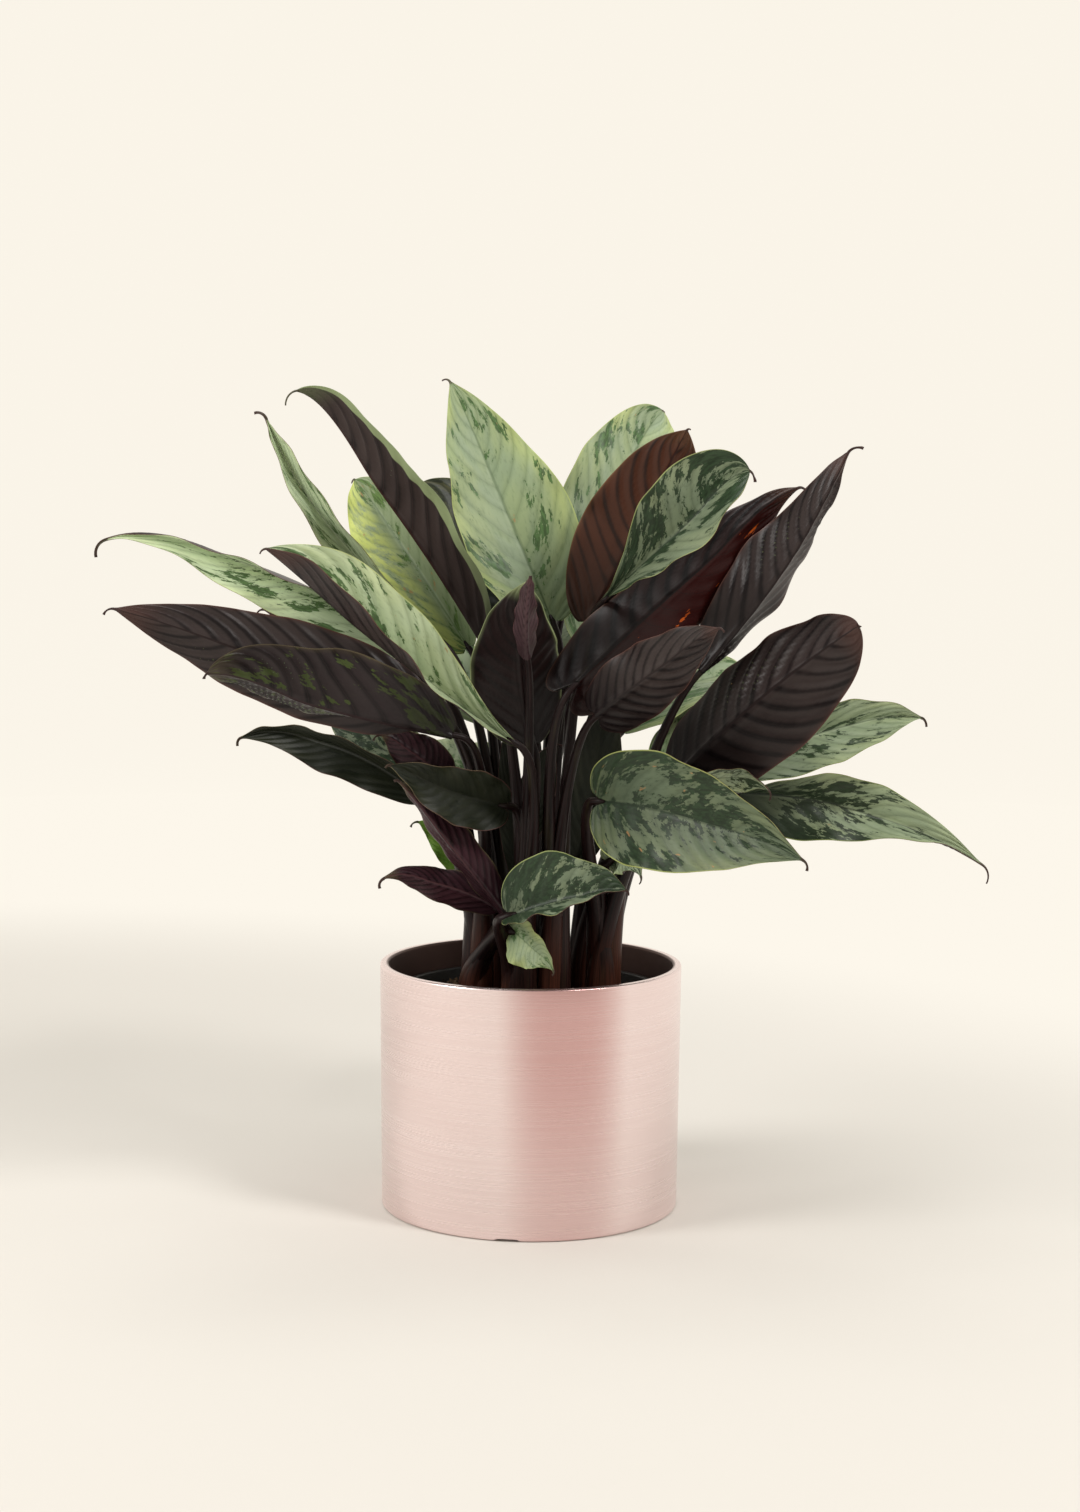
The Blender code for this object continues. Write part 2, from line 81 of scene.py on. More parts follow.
GROWER_LIP_ROUND = 0.9
SOIL_EDGE_Z = 144.0
SOIL_HEAP = 4.0
SOIL_SINK = 0.4
SOIL_RINGS = 70
SOIL_SIDES = 160
# Direction in radians, radians per millimetre and height of the soil's bumps.
SOIL_WAVES = (
    (0.3, 0.09, 0.8), (1.9, 0.13, 0.6), (3.1, 0.31, 0.45), (4.4, 0.47, 0.35), (5.2, 0.83, 0.25)
)
# A crumb's least size, how much larger the largest is, and how far crumbs keep from the pot's wall.
CRUMB_LEAST = 0.6
CRUMB_SPREAD = 1.9
CRUMB_MARGIN = 3.5

# Shoots and their stalks, in millimetres. STALK_UPRIGHT and STALK_LEAD are shares of the reach from
# the soil to the blade, and STALK_GROOVE is the channel's depth as a share of the stalk's radius.
# GROOVE_WIDTH is in radians.
SHOOT_EXIT_Z = 152.0
SHEATH_SPREAD = 3.6
STALK_RADIUS = 5.4
STALK_TIP_RADIUS = 2.4
STALK_UPRIGHT = 0.45
STALK_LEAD = 0.14
NECK_LENGTH = 5.0
HEEL_GAP = 0.6
STALK_INTO_BLADE = 5.0
STALK_FOOT_Z = 138.0
SHEATH_SWELL = 0.75
SHEATH_REACH = 105.0
STALK_GROOVE = 0.3
STALK_END_SHARE = 0.4
GROOVE_WIDTH = 0.7
# No stalk runs close to this direction, so it can tell each ring where its first side is.
STALK_GUIDE = (0.31, -0.87, 0.05)

# Blades. Thicknesses, heights and widths are in millimetres, and starts are shares of the length.
# VEIN_SWEEP is how far a side vein runs forward on its way to the margin, as a share of the length,
# and VEIN_BEND how much it bends.
HEEL_HALF_WIDTH = 2.0
TIP_HALF_WIDTH = 0.8
HOOK_START = 0.6
HOOK_BLEND = 0.14
HOOK_SAMPLES = 9
LOBE_START = 0.3
LOBE_SCALE = 1.8
WAVE_SHIFT = 1.9
END_CROWDING = 0.06
VEIN_SWEEP = 0.26
VEIN_BEND = 1.25
VEIN_SHIFT = 0.4
VEIN_DRIFT = 0.3
VEIN_DRIFT_RATE = 9.0
VEIN_DRIFT_SEED = 20
VEIN_COUNT = 11
FULL_PLEAT_WIDTH = 32
RIPPLE_HEIGHT = 1.6
RIPPLE_WAVES = 4.3
SHEET_THICKNESS = 0.6
RIDGE_HEIGHT = 1.9
RIDGE_HALF_WIDTH = 1.5
RIDGE_FADE = 0.8
GUTTER_DEPTH = 0.5
TAIL_ROWS = 8
TAIL_TURN = 1.5
TAIL_SHRINK = 0.85

# Floor, the round sweep from it up to the backdrop, and the backdrop's radius and height at its top,
# in millimetres. The floor lies a little under the planter.
FLOOR_DROP = 0.2
FLOOR_RINGS = (600, 1500)
FLOOR_RADIUS = 2600
SWEEP_RADIUS = 1400
BACKDROP_TOP = (4000, 4200)
STAGE_SIDES = 96

# Lights, in metres and watts: place, size and power. The key light's power is a setting.
KEY_PLACE, KEY_SIZE = (1.35, -1.0, 1.9), 0.6
LEFT_PLACE, LEFT_SIZE, LEFT_POWER = (-1.7, -0.8, 1.5), 0.8, 22
TOP_PLACE, TOP_SIZE, TOP_POWER = (-0.2, 0.5, 2.4), 1.4, 18
LIGHT_TARGET = (0.0, 0.0, 0.22)
LIGHT_COLOUR = (1.0, 0.98, 0.955)
AIR_COLOUR = (1.0, 0.97, 0.92, 1.0)
AIR_STRENGTH = 0.15

FRONT = np.array([0.0, -1.0, 0.0])
SKY = np.array([0.0, 0.0, 1.0])

# Camera, from the ellipses of the planter's rim and foot in the photo: place, lens and sensor in
# millimetres, how far it looks down and leans, in degrees, and the reach of its view, in metres.
CAMERA_PLACE = (5.2, -1704.2, 479.65)
CAMERA_PITCH = 5.543
CAMERA_ROLL = 0.467
CAMERA_LENS = 58.84
CAMERA_SENSOR = 36.0
CAMERA_CLIP = (0.05, 30.0)

# Where each shoot stands in the soil, in millimetres from the planter's axis. Its node is named
# shoot_ and its name here, and a leaf's node leaf_ and its name.
Shoot = namedtuple("Shoot", "x y")

SHOOTS = {
    "far_left": Shoot(-38, -10),
    "left": Shoot(-24, 22),
    "front": Shoot(-8, -36),
    "middle": Shoot(15, -30),
    "centre": Shoot(4, 2),
    "right": Shoot(50, -14),
    "right_back": Shoot(38, 26),
    "back": Shoot(6, 48),
}

# One row for each leaf. heel, crest and tip are points on the midrib: where the blade starts on its
# stalk, half way, and at the point. width is the widest half. facing is the side that the upper
# face looks to at roll 0. roll and twist turn the blade about its midrib, in degrees at half length
# and in all from heel to tip. fold lifts both halves, and curl bends them on towards the edge. wave
# is how far the margin ripples and waves how often. base is low for a round heel and taper low for
# a blunt tip, and both are high for a drawn-out end. lobe is how far the margins trail behind the
# heel, and hook is how strongly the tip bends down.
Leaf = namedtuple(
    "Leaf",
    "shoot heel crest tip width facing roll twist fold curl wave waves base taper lobe hook",
    defaults=(FRONT, 0, 0, 15, 0, 1.5, 2.5, 0.62, 1.0, 8, 4),
)

LEAVES = {
    # Tall leaves in the middle and at the top.
    "crown": Leaf(
        "centre", (13, 10, 407), (-21, 28, 487), (-60, 50, 573), 43,
        roll=16, fold=18, wave=2.5, waves=2
    ),
    "arch_left": Leaf(
        "front", (-35, -20, 396), (-95, -48, 487), (-155, -80, 560), 37,
        roll=114, fold=24, taper=0.8, hook=22
    ),
    "twisted_left": Leaf(
        "left", (-67, 12, 395), (-146, 14, 477), (-186, 20, 545), 22, twist=30, fold=64, wave=3
    ),
    "lime_left": Leaf(
        "left", (-46, 28, 388), (-95, 68, 458), (-132, 112, 505), 37, roll=-6, fold=36, lobe=12
    ),
    "shade_back": Leaf("back", (-15, 44, 403), (-53, 90, 466), (-93, 130, 496), 38, fold=16),
    "top_right": Leaf(
        "back", (25, 50, 427), (61, 93, 506), (94, 140, 558), 36, roll=-5, fold=22, taper=0.8
    ),
    "copper": Leaf(
        "centre", (36, -6, 407), (74, -18, 480), (102, -34, 538), 37, roll=188, fold=12, taper=0.9
    ),
    "camo_right": Leaf(
        "middle", (48, -36, 424), (94, -84, 470), (140, -90, 510), 36,
        roll=-25, fold=42, base=1.8, taper=1.0, hook=14
    ),
    "red_channel": Leaf(
        "middle", (29, -76, 370), (104, -50, 439), (178, -28, 500), 35,
        roll=170, fold=36, base=0.5, lobe=36, hook=14
    ),
    "hook_right": Leaf(
        "right", (113, -46, 377), (168, -58, 449), (207, -60, 523), 31,
        roll=202, fold=46, wave=4, waves=2
    ),
    # Leaves on the right.
    "dark_front_right": Leaf(
        "middle", (43, -84, 350), (79, -124, 382), (116, -164, 411), 26,
        roll=172, fold=26, base=0.45, lobe=20
    ),
    "dark_right": Leaf(
        "right", (104, -30, 310), (158, -70, 366), (210, -112, 411), 42,
        roll=154, fold=26, base=0.45, taper=0.62, lobe=34, hook=0
    ),
    "front_right": Leaf(
        "right", (45, -76, 292), (100, -130, 288), (169, -180, 268), 41, fold=22, twist=10, lobe=14
    ),
    "camo_far_right": Leaf(
        "right_back", (134, 8, 303), (213, 50, 330), (284, 96, 335), 29, fold=42, taper=1.1
    ),
    "drooping_right": Leaf(
        "right_back", (139, 0, 289), (223, 6, 278), (316, 14, 239), 30,
        roll=-6, twist=-110, fold=37, taper=1.2
    ),
    "small_right": Leaf("right", (97, -40, 290), (129, -48, 305), (158, -60, 298), 17, roll=45),
    # Leaves on the left.
    "silver_left": Leaf(
        "left", (-84, 0, 387), (-190, 4, 443), (-296, 8, 461), 30,
        roll=-26, fold=60, taper=1.3, hook=14
    ),
    "dark_left": Leaf(
        "left", (-70, -20, 345), (-168, -26, 377), (-283, -34, 415), 34, roll=180, fold=18, taper=0.9
    ),
    "patched_left": Leaf(
        "far_left", (-54, -56, 333), (-136, -84, 353), (-210, -112, 377), 40,
        roll=142, twist=30, fold=40, taper=0.8, hook=12
    ),
    "folded_left": Leaf(
        "front", (-13, -76, 331), (-99, -112, 397), (-167, -150, 458), 35,
        roll=48, twist=63, fold=56, base=1.3, taper=0.9
    ),
    "tucked_left": Leaf("left", (-74, 6, 367), (-126, 14, 393), (-173, 20, 412), 13, roll=180),
    "olive_left": Leaf(
        "far_left", (-76, 16, 282), (-143, 50, 316), (-213, 88, 317), 23, roll=-16, fold=50, hook=8
    ),
    "behind_left": Leaf("left", (-69, 36, 285), (-110, 58, 315), (-151, 80, 339), 26),
    "plum_left": Leaf("far_left", (-61, 20, 296), (-82, 16, 313), (-106, 10, 327), 17, roll=180),
    # Low leaves round the foot.
    "shade_low": Leaf("front", (-19, -40, 284), (-55, -66, 296), (-93, -90, 316), 23, roll=8, fold=32),
    "hanging_plum": Leaf(
        "far_left", (-19, -44, 212), (-52, -62, 257), (-88, -76, 304), 20, roll=170, fold=55
    ),
    "hook_low": Leaf(
        "far_left", (-24, -32, 213), (-60, -38, 229), (-100, -43, 234), 16, roll=190, fold=40, hook=8
    ),
    "lime_low": Leaf("far_left", (-44, 17, 226), (-60, 19, 249), (-80, 20, 265), 11),
    "low_front": Leaf(
        "front", (-14, -72, 214), (24, -88, 228), (62, -106, 237), 34, roll=-48, fold=40
    ),
    "low_tip": Leaf(
        "front", (-13, -60, 202), (0, -78, 194), (15, -87, 180), 17, roll=20, fold=20, lobe=4
    ),
    "burgundy": Leaf("front", (0, -44, 327), (-9, -58, 383), (-4, -70, 437), 36, roll=190, fold=28),
    "spear": Leaf("front", (-4, -70, 386), (-5, -83, 412), (-2, -94, 440), 15, roll=180, fold=60),
    "inner_green": Leaf("centre", (-2, -18, 263), (4, -16, 296), (14, -14, 322), 14),
    "inner_left": Leaf("centre", (-8, 6, 226), (-15, 8, 284), (-17, 10, 340), 10),
    "inner_right": Leaf("centre", (30, 8, 238), (45, 12, 304), (50, 16, 370), 19),
    "small_low_right": Leaf("right", (54, -30, 246), (64, -38, 248), (74, -48, 238), 13),
    # Leaves at the back.
    "back_top": Leaf(
        "back", (-4, 78, 410), (-12, 130, 480), (-25, 190, 512), 38, facing=SKY, fold=20, hook=8
    ),
    "back_middle": Leaf(
        "back", (14, 90, 350), (20, 160, 405), (26, 235, 415), 40, facing=SKY, roll=8, fold=22, hook=10
    ),
    "back_left": Leaf(
        "left", (-34, 84, 330), (-92, 145, 370), (-150, 205, 378), 38, facing=SKY, roll=-20, fold=20
    ),
    "back_right": Leaf(
        "right_back", (64, 74, 325), (122, 135, 358), (180, 196, 352), 40, facing=SKY, roll=20, fold=20
    ),
    "back_high_right": Leaf(
        "back", (38, 84, 385), (74, 150, 440), (112, 215, 452), 38,
        facing=SKY, roll=15, fold=24, hook=8
    ),
    "back_far_left": Leaf(
        "left", (-70, 56, 342), (-134, 84, 386), (-198, 106, 410), 30, roll=180, fold=20
    ),
    "back_far_right": Leaf(
        "right_back", (92, 60, 296), (150, 112, 328), (206, 160, 333), 34, facing=SKY, roll=10, fold=20
    ),
    "back_low_left": Leaf(
        "back", (-26, 76, 268), (-66, 130, 296), (-104, 190, 292), 32, facing=SKY, roll=-15, fold=18
    ),
    "back_low": Leaf("back", (14, 84, 236), (20, 134, 262), (26, 190, 252), 30, facing=SKY, fold=16),
    "back_low_right": Leaf(
        "right_back", (70, 56, 262), (112, 92, 262), (156, 124, 230), 30, facing=SKY, roll=20, fold=18
    ),
}

# The materials of each blade's upper and under face, how deep its pleats are, and how far its
# drawn-out tip reaches, in millimetres.
Look = namedtuple("Look", "upper under pleat tail", defaults=("silver", "dark", 1.2, 7))

LOOKS = {
    "crown": Look(tail=9),
    "arch_left": Look("silver", "edged", 2.0, 15),
    "twisted_left": Look("pale", "dark", 0.9, 12),
    "lime_left": Look("lime", "plum", 0.9, 7),
    "shade_back": Look("shade", "copper"),
    "copper": Look("shade", "copper", 1.8, 4),
    "camo_right": Look("camo", "dark", 0.9, 10),
    "red_channel": Look("shade", "red", 2.0, 6),
    "hook_right": Look("shade", "dark", 2.2, 12),
    "dark_front_right": Look("shade", "dark", 2.0, 6),
    "dark_right": Look("shade", "dark", 2.6, 3),
    "front_right": Look("spotted", "dark", 1.3, 8),
    "drooping_right": Look("deep_shaded_heel", "dark", 1.2, 16),
    "camo_far_right": Look("deep", "dark", 0.9, 9),
    "small_right": Look("deep", "dark"),
    "silver_left": Look("lit_silver", "dark", 0.8, 15),
    "dark_left": Look("shade", "dark", 2.6, 9),
    "patched_left": Look("spotted", "patched", 3.0, 5),
    "folded_left": Look("pale", "dark", 1.2, 7),
    "tucked_left": Look("shade", "dark", 1.4),
    "olive_left": Look("shaded_olive", "plum", 0.9, 7),
    "behind_left": Look("camo", "dark"),
    "plum_left": Look("shade", "plum", 1.8),
    "shade_low": Look("shaded_olive", "plum", 0.9, 4),
    "hanging_plum": Look("shade", "plum", 1.6, 4),
    "hook_low": Look("shade", "plum", 1.4, 8),
    "lime_low": Look("vivid", "plum"),
    "low_front": Look("camo", "dark", 0.9, 5),
    "low_tip": Look("silver", "dark", 0.4, 4),
    "burgundy": Look("shade", "wine_shaded", 1.2, 3),
    "spear": Look("shade", "spear", 0.5, 3),
    "inner_left": Look("shaded_olive", "dark"),
    "inner_right": Look("shaded_olive", "dark"),
    "inner_green": Look("shaded_olive", "dark"),
    "small_low_right": Look("deep", "dark"),
}


def unit(vectors):
    """Each vector divided by its own length."""
    return vectors / np.linalg.norm(vectors, axis=-1, keepdims=True)


def smooth(value, low, high):
    """0 under low, 1 over high, and an even S-curve between them."""
    t = np.clip((value - low) / (high - low), 0, 1)
    return t * t * (3 - 2 * t)


def hashed(*numbers):
    """Even-looking numbers from 0 to 1: the fraction of a large sine of the inputs."""
    mixed = sum(n * k for n, k in zip(numbers, (12.9898, 78.233, 37.719, 4.581)))
    return np.modf(np.abs(np.sin(mixed) * 43758.5453))[0]


def mesh_object(name, points, faces, uv=None, face_slots=None, seed=None):
    """A new object from points in millimetres, with a UV map "blade" given for each point."""
    mesh = bpy.data.meshes.new(name)
    mesh.from_pydata((points * MM).tolist(), [], faces)
    if uv is not None:
        corners = np.empty(len(mesh.loops), np.int32)
        mesh.loops.foreach_get("vertex_index", corners)
        layer = mesh.uv_layers.new(name="blade")
        layer.uv.foreach_set("vector", uv[corners].astype(np.float32).ravel())
    if face_slots is not None:
        mesh.polygons.foreach_set("material_index", face_slots.astype(np.int32))
    if seed is not None:
        values = mesh.attributes.new("seed", "FLOAT", "POINT")
        values.data.foreach_set("value", np.broadcast_to(seed, len(mesh.vertices)).astype(np.float32))
    mesh.shade_smooth()
    mesh.update()
    obj = bpy.data.objects.new(name, mesh)
    bpy.context.scene.collection.objects.link(obj)
    return obj


def grid_faces(rows, columns, start=0, flip=False):
    """Quads between the points of a grid that is stored row by row."""
    index = start + np.arange(rows * columns).reshape(rows, columns)
    quads = np.stack([index[:-1, :-1], index[:-1, 1:], index[1:, 1:], index[1:, :-1]], axis=-1)
    quads = quads.reshape(-1, 4)
    return quads[:, ::-1] if flip else quads


def tube_faces(rings, sides, start=0):
    """Faces of a tube whose rings follow one another, with a flat cap at each end."""
    index = start + np.arange(rings * sides).reshape(rings, sides)
    after = np.roll(index, -1, axis=1)
    quads = np.stack([index[:-1], after[:-1], after[1:], index[1:]], axis=-1)
    return quads.reshape(-1, 4).tolist() + [index[0, ::-1].tolist(), index[-1].tolist()]


class Socket:
    """One output of a shader tree. Sums written with it become Math nodes."""

    def __init__(self, tree, output):
        self.tree, self.output = tree, output

    def node(self, kind, inputs=(), output=0, **settings):
        """Another node of the same tree, given its inputs by name or number."""
        node = self.tree.nodes.new(kind)
        for key, value in settings.items():
            setattr(node, key, value)
        for key, value in dict(inputs).items():
            if isinstance(value, Socket):
                self.tree.links.new(value.output, node.inputs[key])
            else:
                node.inputs[key].default_value = value
        return Socket(self.tree, node.outputs[output])

    def math(self, operation, *others):
        return self.node("ShaderNodeMath", enumerate((self, *others)), operation=operation)

    def __add__(self, other):
        return self.math("ADD", other)

    __radd__ = __add__

    def __mul__(self, other):
        return self.math("MULTIPLY", other)

    __rmul__ = __mul__

    def __sub__(self, other):
        return self.math("SUBTRACT", other)

    def __rsub__(self, other):
        return (self * -1) + other

    def __pow__(self, other):
        return self.math("POWER", other)

    def __abs__(self):
        return self.math("ABSOLUTE")

    def step(self, low, high):
        """0 under low, 1 over high, and smooth between them."""
        inputs = {0: self, 1: low, 2: high, 3: 0.0, 4: 1.0}
        return self.node("ShaderNodeMapRange", inputs, interpolation_type="SMOOTHSTEP")

    def blend(self, first, second):
        """A colour between two, by this socket from 0 to 1."""
        inputs = {0: self, 6: opaque(first), 7: opaque(second)}
        return self.node("ShaderNodeMix", inputs, output=2, data_type="RGBA")

    def axes(self, count=3):
        """The first parts of this vector, each as its own socket."""
        return [self.node("ShaderNodeSeparateXYZ", {0: self}, output=i) for i in range(count)]

    def noise(self, scale, detail=2.0, roughness=0.5):
        inputs = {"Vector": self, "Scale": scale, "Detail": detail, "Roughness": roughness}
        return self.node("ShaderNodeTexNoise", inputs)


def opaque(colour):
    """A colour with full alpha, or the socket that gives it."""
    return colour if isinstance(colour, Socket) else (*colour, 1.0)


def new_material(name, roughness=0.5, metallic=0.0, specular=0.5):
    """A material, its Principled shader, and a socket to start sums from."""
    made = bpy.data.materials.new(name)
    made.use_nodes = True
    shader = made.node_tree.nodes["Principled BSDF"]
    shader.inputs["Roughness"].default_value = roughness
    shader.inputs["Metallic"].default_value = metallic
    shader.inputs["Specular IOR Level"].default_value = specular
    return made, shader, Socket(made.node_tree, None)


def feed(shader, name, value):
    """Links a socket to one of the shader's inputs."""
    value.tree.links.new(value.output, shader.inputs[name])


def bump(shader, height, strength, distance):
    """Tilts the shader's normal by a height from 0 to 1, which stands for a distance in metres."""
    inputs = {"Height": height, "Strength": strength, "Distance": distance}
    feed(shader, "Normal", height.node("ShaderNodeBump", inputs))


def combine(x, y, z):
    """A vector from three parts, of which at least one is a socket."""
    first = next(part for part in (x, y, z) if isinstance(part, Socket))
    return first.node("ShaderNodeCombineXYZ", {0: x, 1: y, 2: z})


# Colours of the upper faces: ground, its lighter and yellower parts, flecks and margin, then how
# much of the face the flecks cover, how many rust spots there are, how yellow the margin gets, and
# how far painted shade darkens the face at its heel.
Upper = namedtuple(
    "Upper", "base light fleck margin flecks spots edge heel", defaults=(0.5, 0.0, 0.35, 0.45)
)
# From this much yellow at the margin on, only one half of the blade is yellow, and all over.
HALF_YELLOW = 0.8

UPPERS = {
    "silver": Upper(
        (0.275, 0.35, 0.22), (0.42, 0.49, 0.2), (0.04, 0.083, 0.026), (0.42, 0.5, 0.18),
        0.42, 0.25, 0.6
    ),
    # A much lighter copy of the silver ground: painted light.
    "lit_silver": Upper(
        (0.66, 0.79, 0.54), (0.78, 0.88, 0.52), (0.05, 0.095, 0.034), (0.55, 0.62, 0.28),
        0.45, 0.2, 0.3
    ),
    # A lighter silver ground: painted light.
    "pale": Upper(
        (0.48, 0.57, 0.38), (0.6, 0.67, 0.38), (0.048, 0.088, 0.032), (0.5, 0.56, 0.24), 0.6, 0.45, 0.3
    ),
    "camo": Upper(
        (0.18, 0.228, 0.148), (0.28, 0.325, 0.185), (0.011, 0.024, 0.01), (0.36, 0.42, 0.16),
        1.2, 0.0, 0.3
    ),
    "spotted": Upper(
        (0.112, 0.15, 0.092), (0.19, 0.225, 0.115), (0.009, 0.02, 0.008), (0.34, 0.38, 0.12),
        1.1, 0.6, 0.6
    ),
    "deep": Upper(
        (0.28, 0.35, 0.225), (0.42, 0.49, 0.26), (0.014, 0.028, 0.011), (0.28, 0.34, 0.1),
        0.85, 0.1, 0.3
    ),
    # Like deep, with darker flecks, and painted shade that darkens the whole heel.
    "deep_shaded_heel": Upper(
        (0.28, 0.35, 0.225), (0.42, 0.49, 0.26), (0.01, 0.019, 0.009), (0.28, 0.34, 0.1),
        0.85, 0.1, 0.3, 1.0
    ),
    "lime": Upper(
        (0.28, 0.35, 0.21), (0.53, 0.6, 0.16), (0.06, 0.11, 0.03), (0.5, 0.54, 0.14), 0.6, 0.75, 0.9
    ),
    "vivid": Upper((0.1, 0.2, 0.025), (0.18, 0.3, 0.04), (0.06, 0.13, 0.02), (0.3, 0.42, 0.08), 0.3),
    "shade": Upper(
        (0.06, 0.066, 0.03), (0.1, 0.1, 0.038), (0.01, 0.015, 0.007), (0.16, 0.18, 0.08), 0.7, 0.2
    ),
    # Near black green: painted shade on leaves deep in the clump.
    "shaded_olive": Upper(
        (0.013, 0.016, 0.009), (0.026, 0.029, 0.013), (0.006, 0.008, 0.004), (0.1, 0.035, 0.035), 0.5
    ),
}

# Colours of the under faces: crest and valley of the pleats, with the valley darkened as painted
# shade, margin and veins, then how many patches there are, their colour, how wide the pale margin of
# one half is, how far the margin's colour shows at the tip, and the colour of one half if it differs
# from the other. On the red leaf the patches are painted glints of light through thin spots, and the
# red half is the leaf's own red with painted light shining through it.
Under = namedtuple(
    "Under", "crest valley margin rib patches patch width tip half",
    defaults=(0.0, (0.05, 0.07, 0.02), 0.03, 0.45, None)
)

UNDERS = {
    "dark": Under(
        (0.04, 0.029, 0.028), (0.006, 0.0035, 0.004), (0.1, 0.045, 0.035), (0.016, 0.008, 0.008)
    ),
    "edged": Under(
        (0.042, 0.028, 0.026), (0.008, 0.004, 0.004), (0.25, 0.31, 0.16), (0.05, 0.022, 0.02),
        0.15, width=0.2, tip=0.3
    ),
    "patched": Under(
        (0.031, 0.022, 0.023), (0.005, 0.003, 0.0035), (0.09, 0.07, 0.04), (0.035, 0.018, 0.02),
        1.35, (0.06, 0.085, 0.022)
    ),
    "copper": Under(
        (0.07, 0.024, 0.013), (0.014, 0.005, 0.003), (0.16, 0.08, 0.04), (0.03, 0.01, 0.008)
    ),
    # The red half is the leaf's red with painted light shining through it, and the orange patches are
    # painted glints of light through thin spots.
    "red": Under(
        (0.015, 0.0075, 0.007), (0.001, 0.0004, 0.0004), (0.09, 0.045, 0.03), (0.005, 0.002, 0.002),
        0.75, (0.55, 0.1, 0.01), half=(0.026, 0.0014, 0.0012)
    ),
    "plum": Under((0.05, 0.019, 0.026), (0.01, 0.003, 0.005), (0.16, 0.14, 0.07), (0.07, 0.024, 0.03)),
    "spear": Under(
        (0.075, 0.042, 0.048), (0.022, 0.01, 0.012), (0.12, 0.05, 0.05), (0.08, 0.04, 0.045)
    ),
    # Nearly black wine red: the leaf's colour darkened as painted shade in the middle of the plant.
    "wine_shaded": Under(
        (0.009, 0.003, 0.003), (0.003, 0.001, 0.001), (0.26, 0.31, 0.15), (0.01, 0.003, 0.003),
        width=0.05, tip=1.0
    ),
}

# Colours of the other surfaces and of small places on the blades.
RUST = (0.42, 0.22, 0.09)
UPPER_TIP = (0.05, 0.025, 0.02)
UNDER_TIP = (0.04, 0.02, 0.018)
# Stalk colours are darkened nearly to black as painted shade inside the clump.
STALK_DARK_SHADED, STALK_BROWN_SHADED = (0.003, 0.0014, 0.0016), (0.018, 0.007, 0.007)
STALK_GREEN, STALK_WARM = (0.018, 0.014, 0.007), (0.085, 0.026, 0.014)
SOIL_DARK, CRUMB_LIGHT = (0.018, 0.010, 0.006), (0.15, 0.095, 0.05)
PLANTER_INSIDE_SHADE = (0.085, 0.045, 0.036)
GROWER_DARK, GROWER_LIGHT = (0.010, 0.011, 0.011), (0.022, 0.023, 0.023)
CREAM, CREAM_LIGHT = (0.695, 0.672, 0.632), (0.705, 0.682, 0.642)
GLOW_BASE, GLOW = (0.03, 0.03, 0.03), (0.93, 0.88, 0.785)
BLACK = (0.0, 0.0, 0.0)

# A point of a blade: shares along it and from midrib to margin, which half it is on, its side
# veins' count so far, and the blade's own shift of the noise.
Place = namedtuple("Place", "along share right vein shift")


def strand_place(start):
    """Shares along and across a blade or along and round a stalk, and the piece's seed."""
    along, across = start.node("ShaderNodeUVMap", uv_map="blade").axes(2)
    return along, across, start.node("ShaderNodeAttribute", attribute_name="seed", output="Fac")


def vein_count(along, share, right, drift):
    """How many side veins lie between the heel and a point. It grows along the blade and falls
    towards the margin, so that each vein sweeps forward, and the halves differ by part of a vein."""
    return (along - share**VEIN_BEND * VEIN_SWEEP) * VEIN_COUNT + right * VEIN_SHIFT + drift


def blade_place(start):
    """The Place of the shaded point, by the same sums as the mesh's pleats."""
    along, across, seed = strand_place(start)
    share = abs(across * 2 - 1)
    right = across.step(0.499, 0.501)
    drift = (along * VEIN_DRIFT_RATE + seed * VEIN_DRIFT_SEED).math("SINE") * VEIN_DRIFT
    return Place(along, share, right, vein_count(along, share, right, drift), seed * 37 + right * 5)


def blade_noise(place, veins, shares, *detail, apart=0):
    """Noise with so many grains to the space of one side vein and to half the blade's width. apart
    sets it off from the blade's other noises."""
    shift = place.shift + apart if apart else place.shift
    return combine(place.vein * veins + place.shift, place.share * shares, shift).noise(*detail)


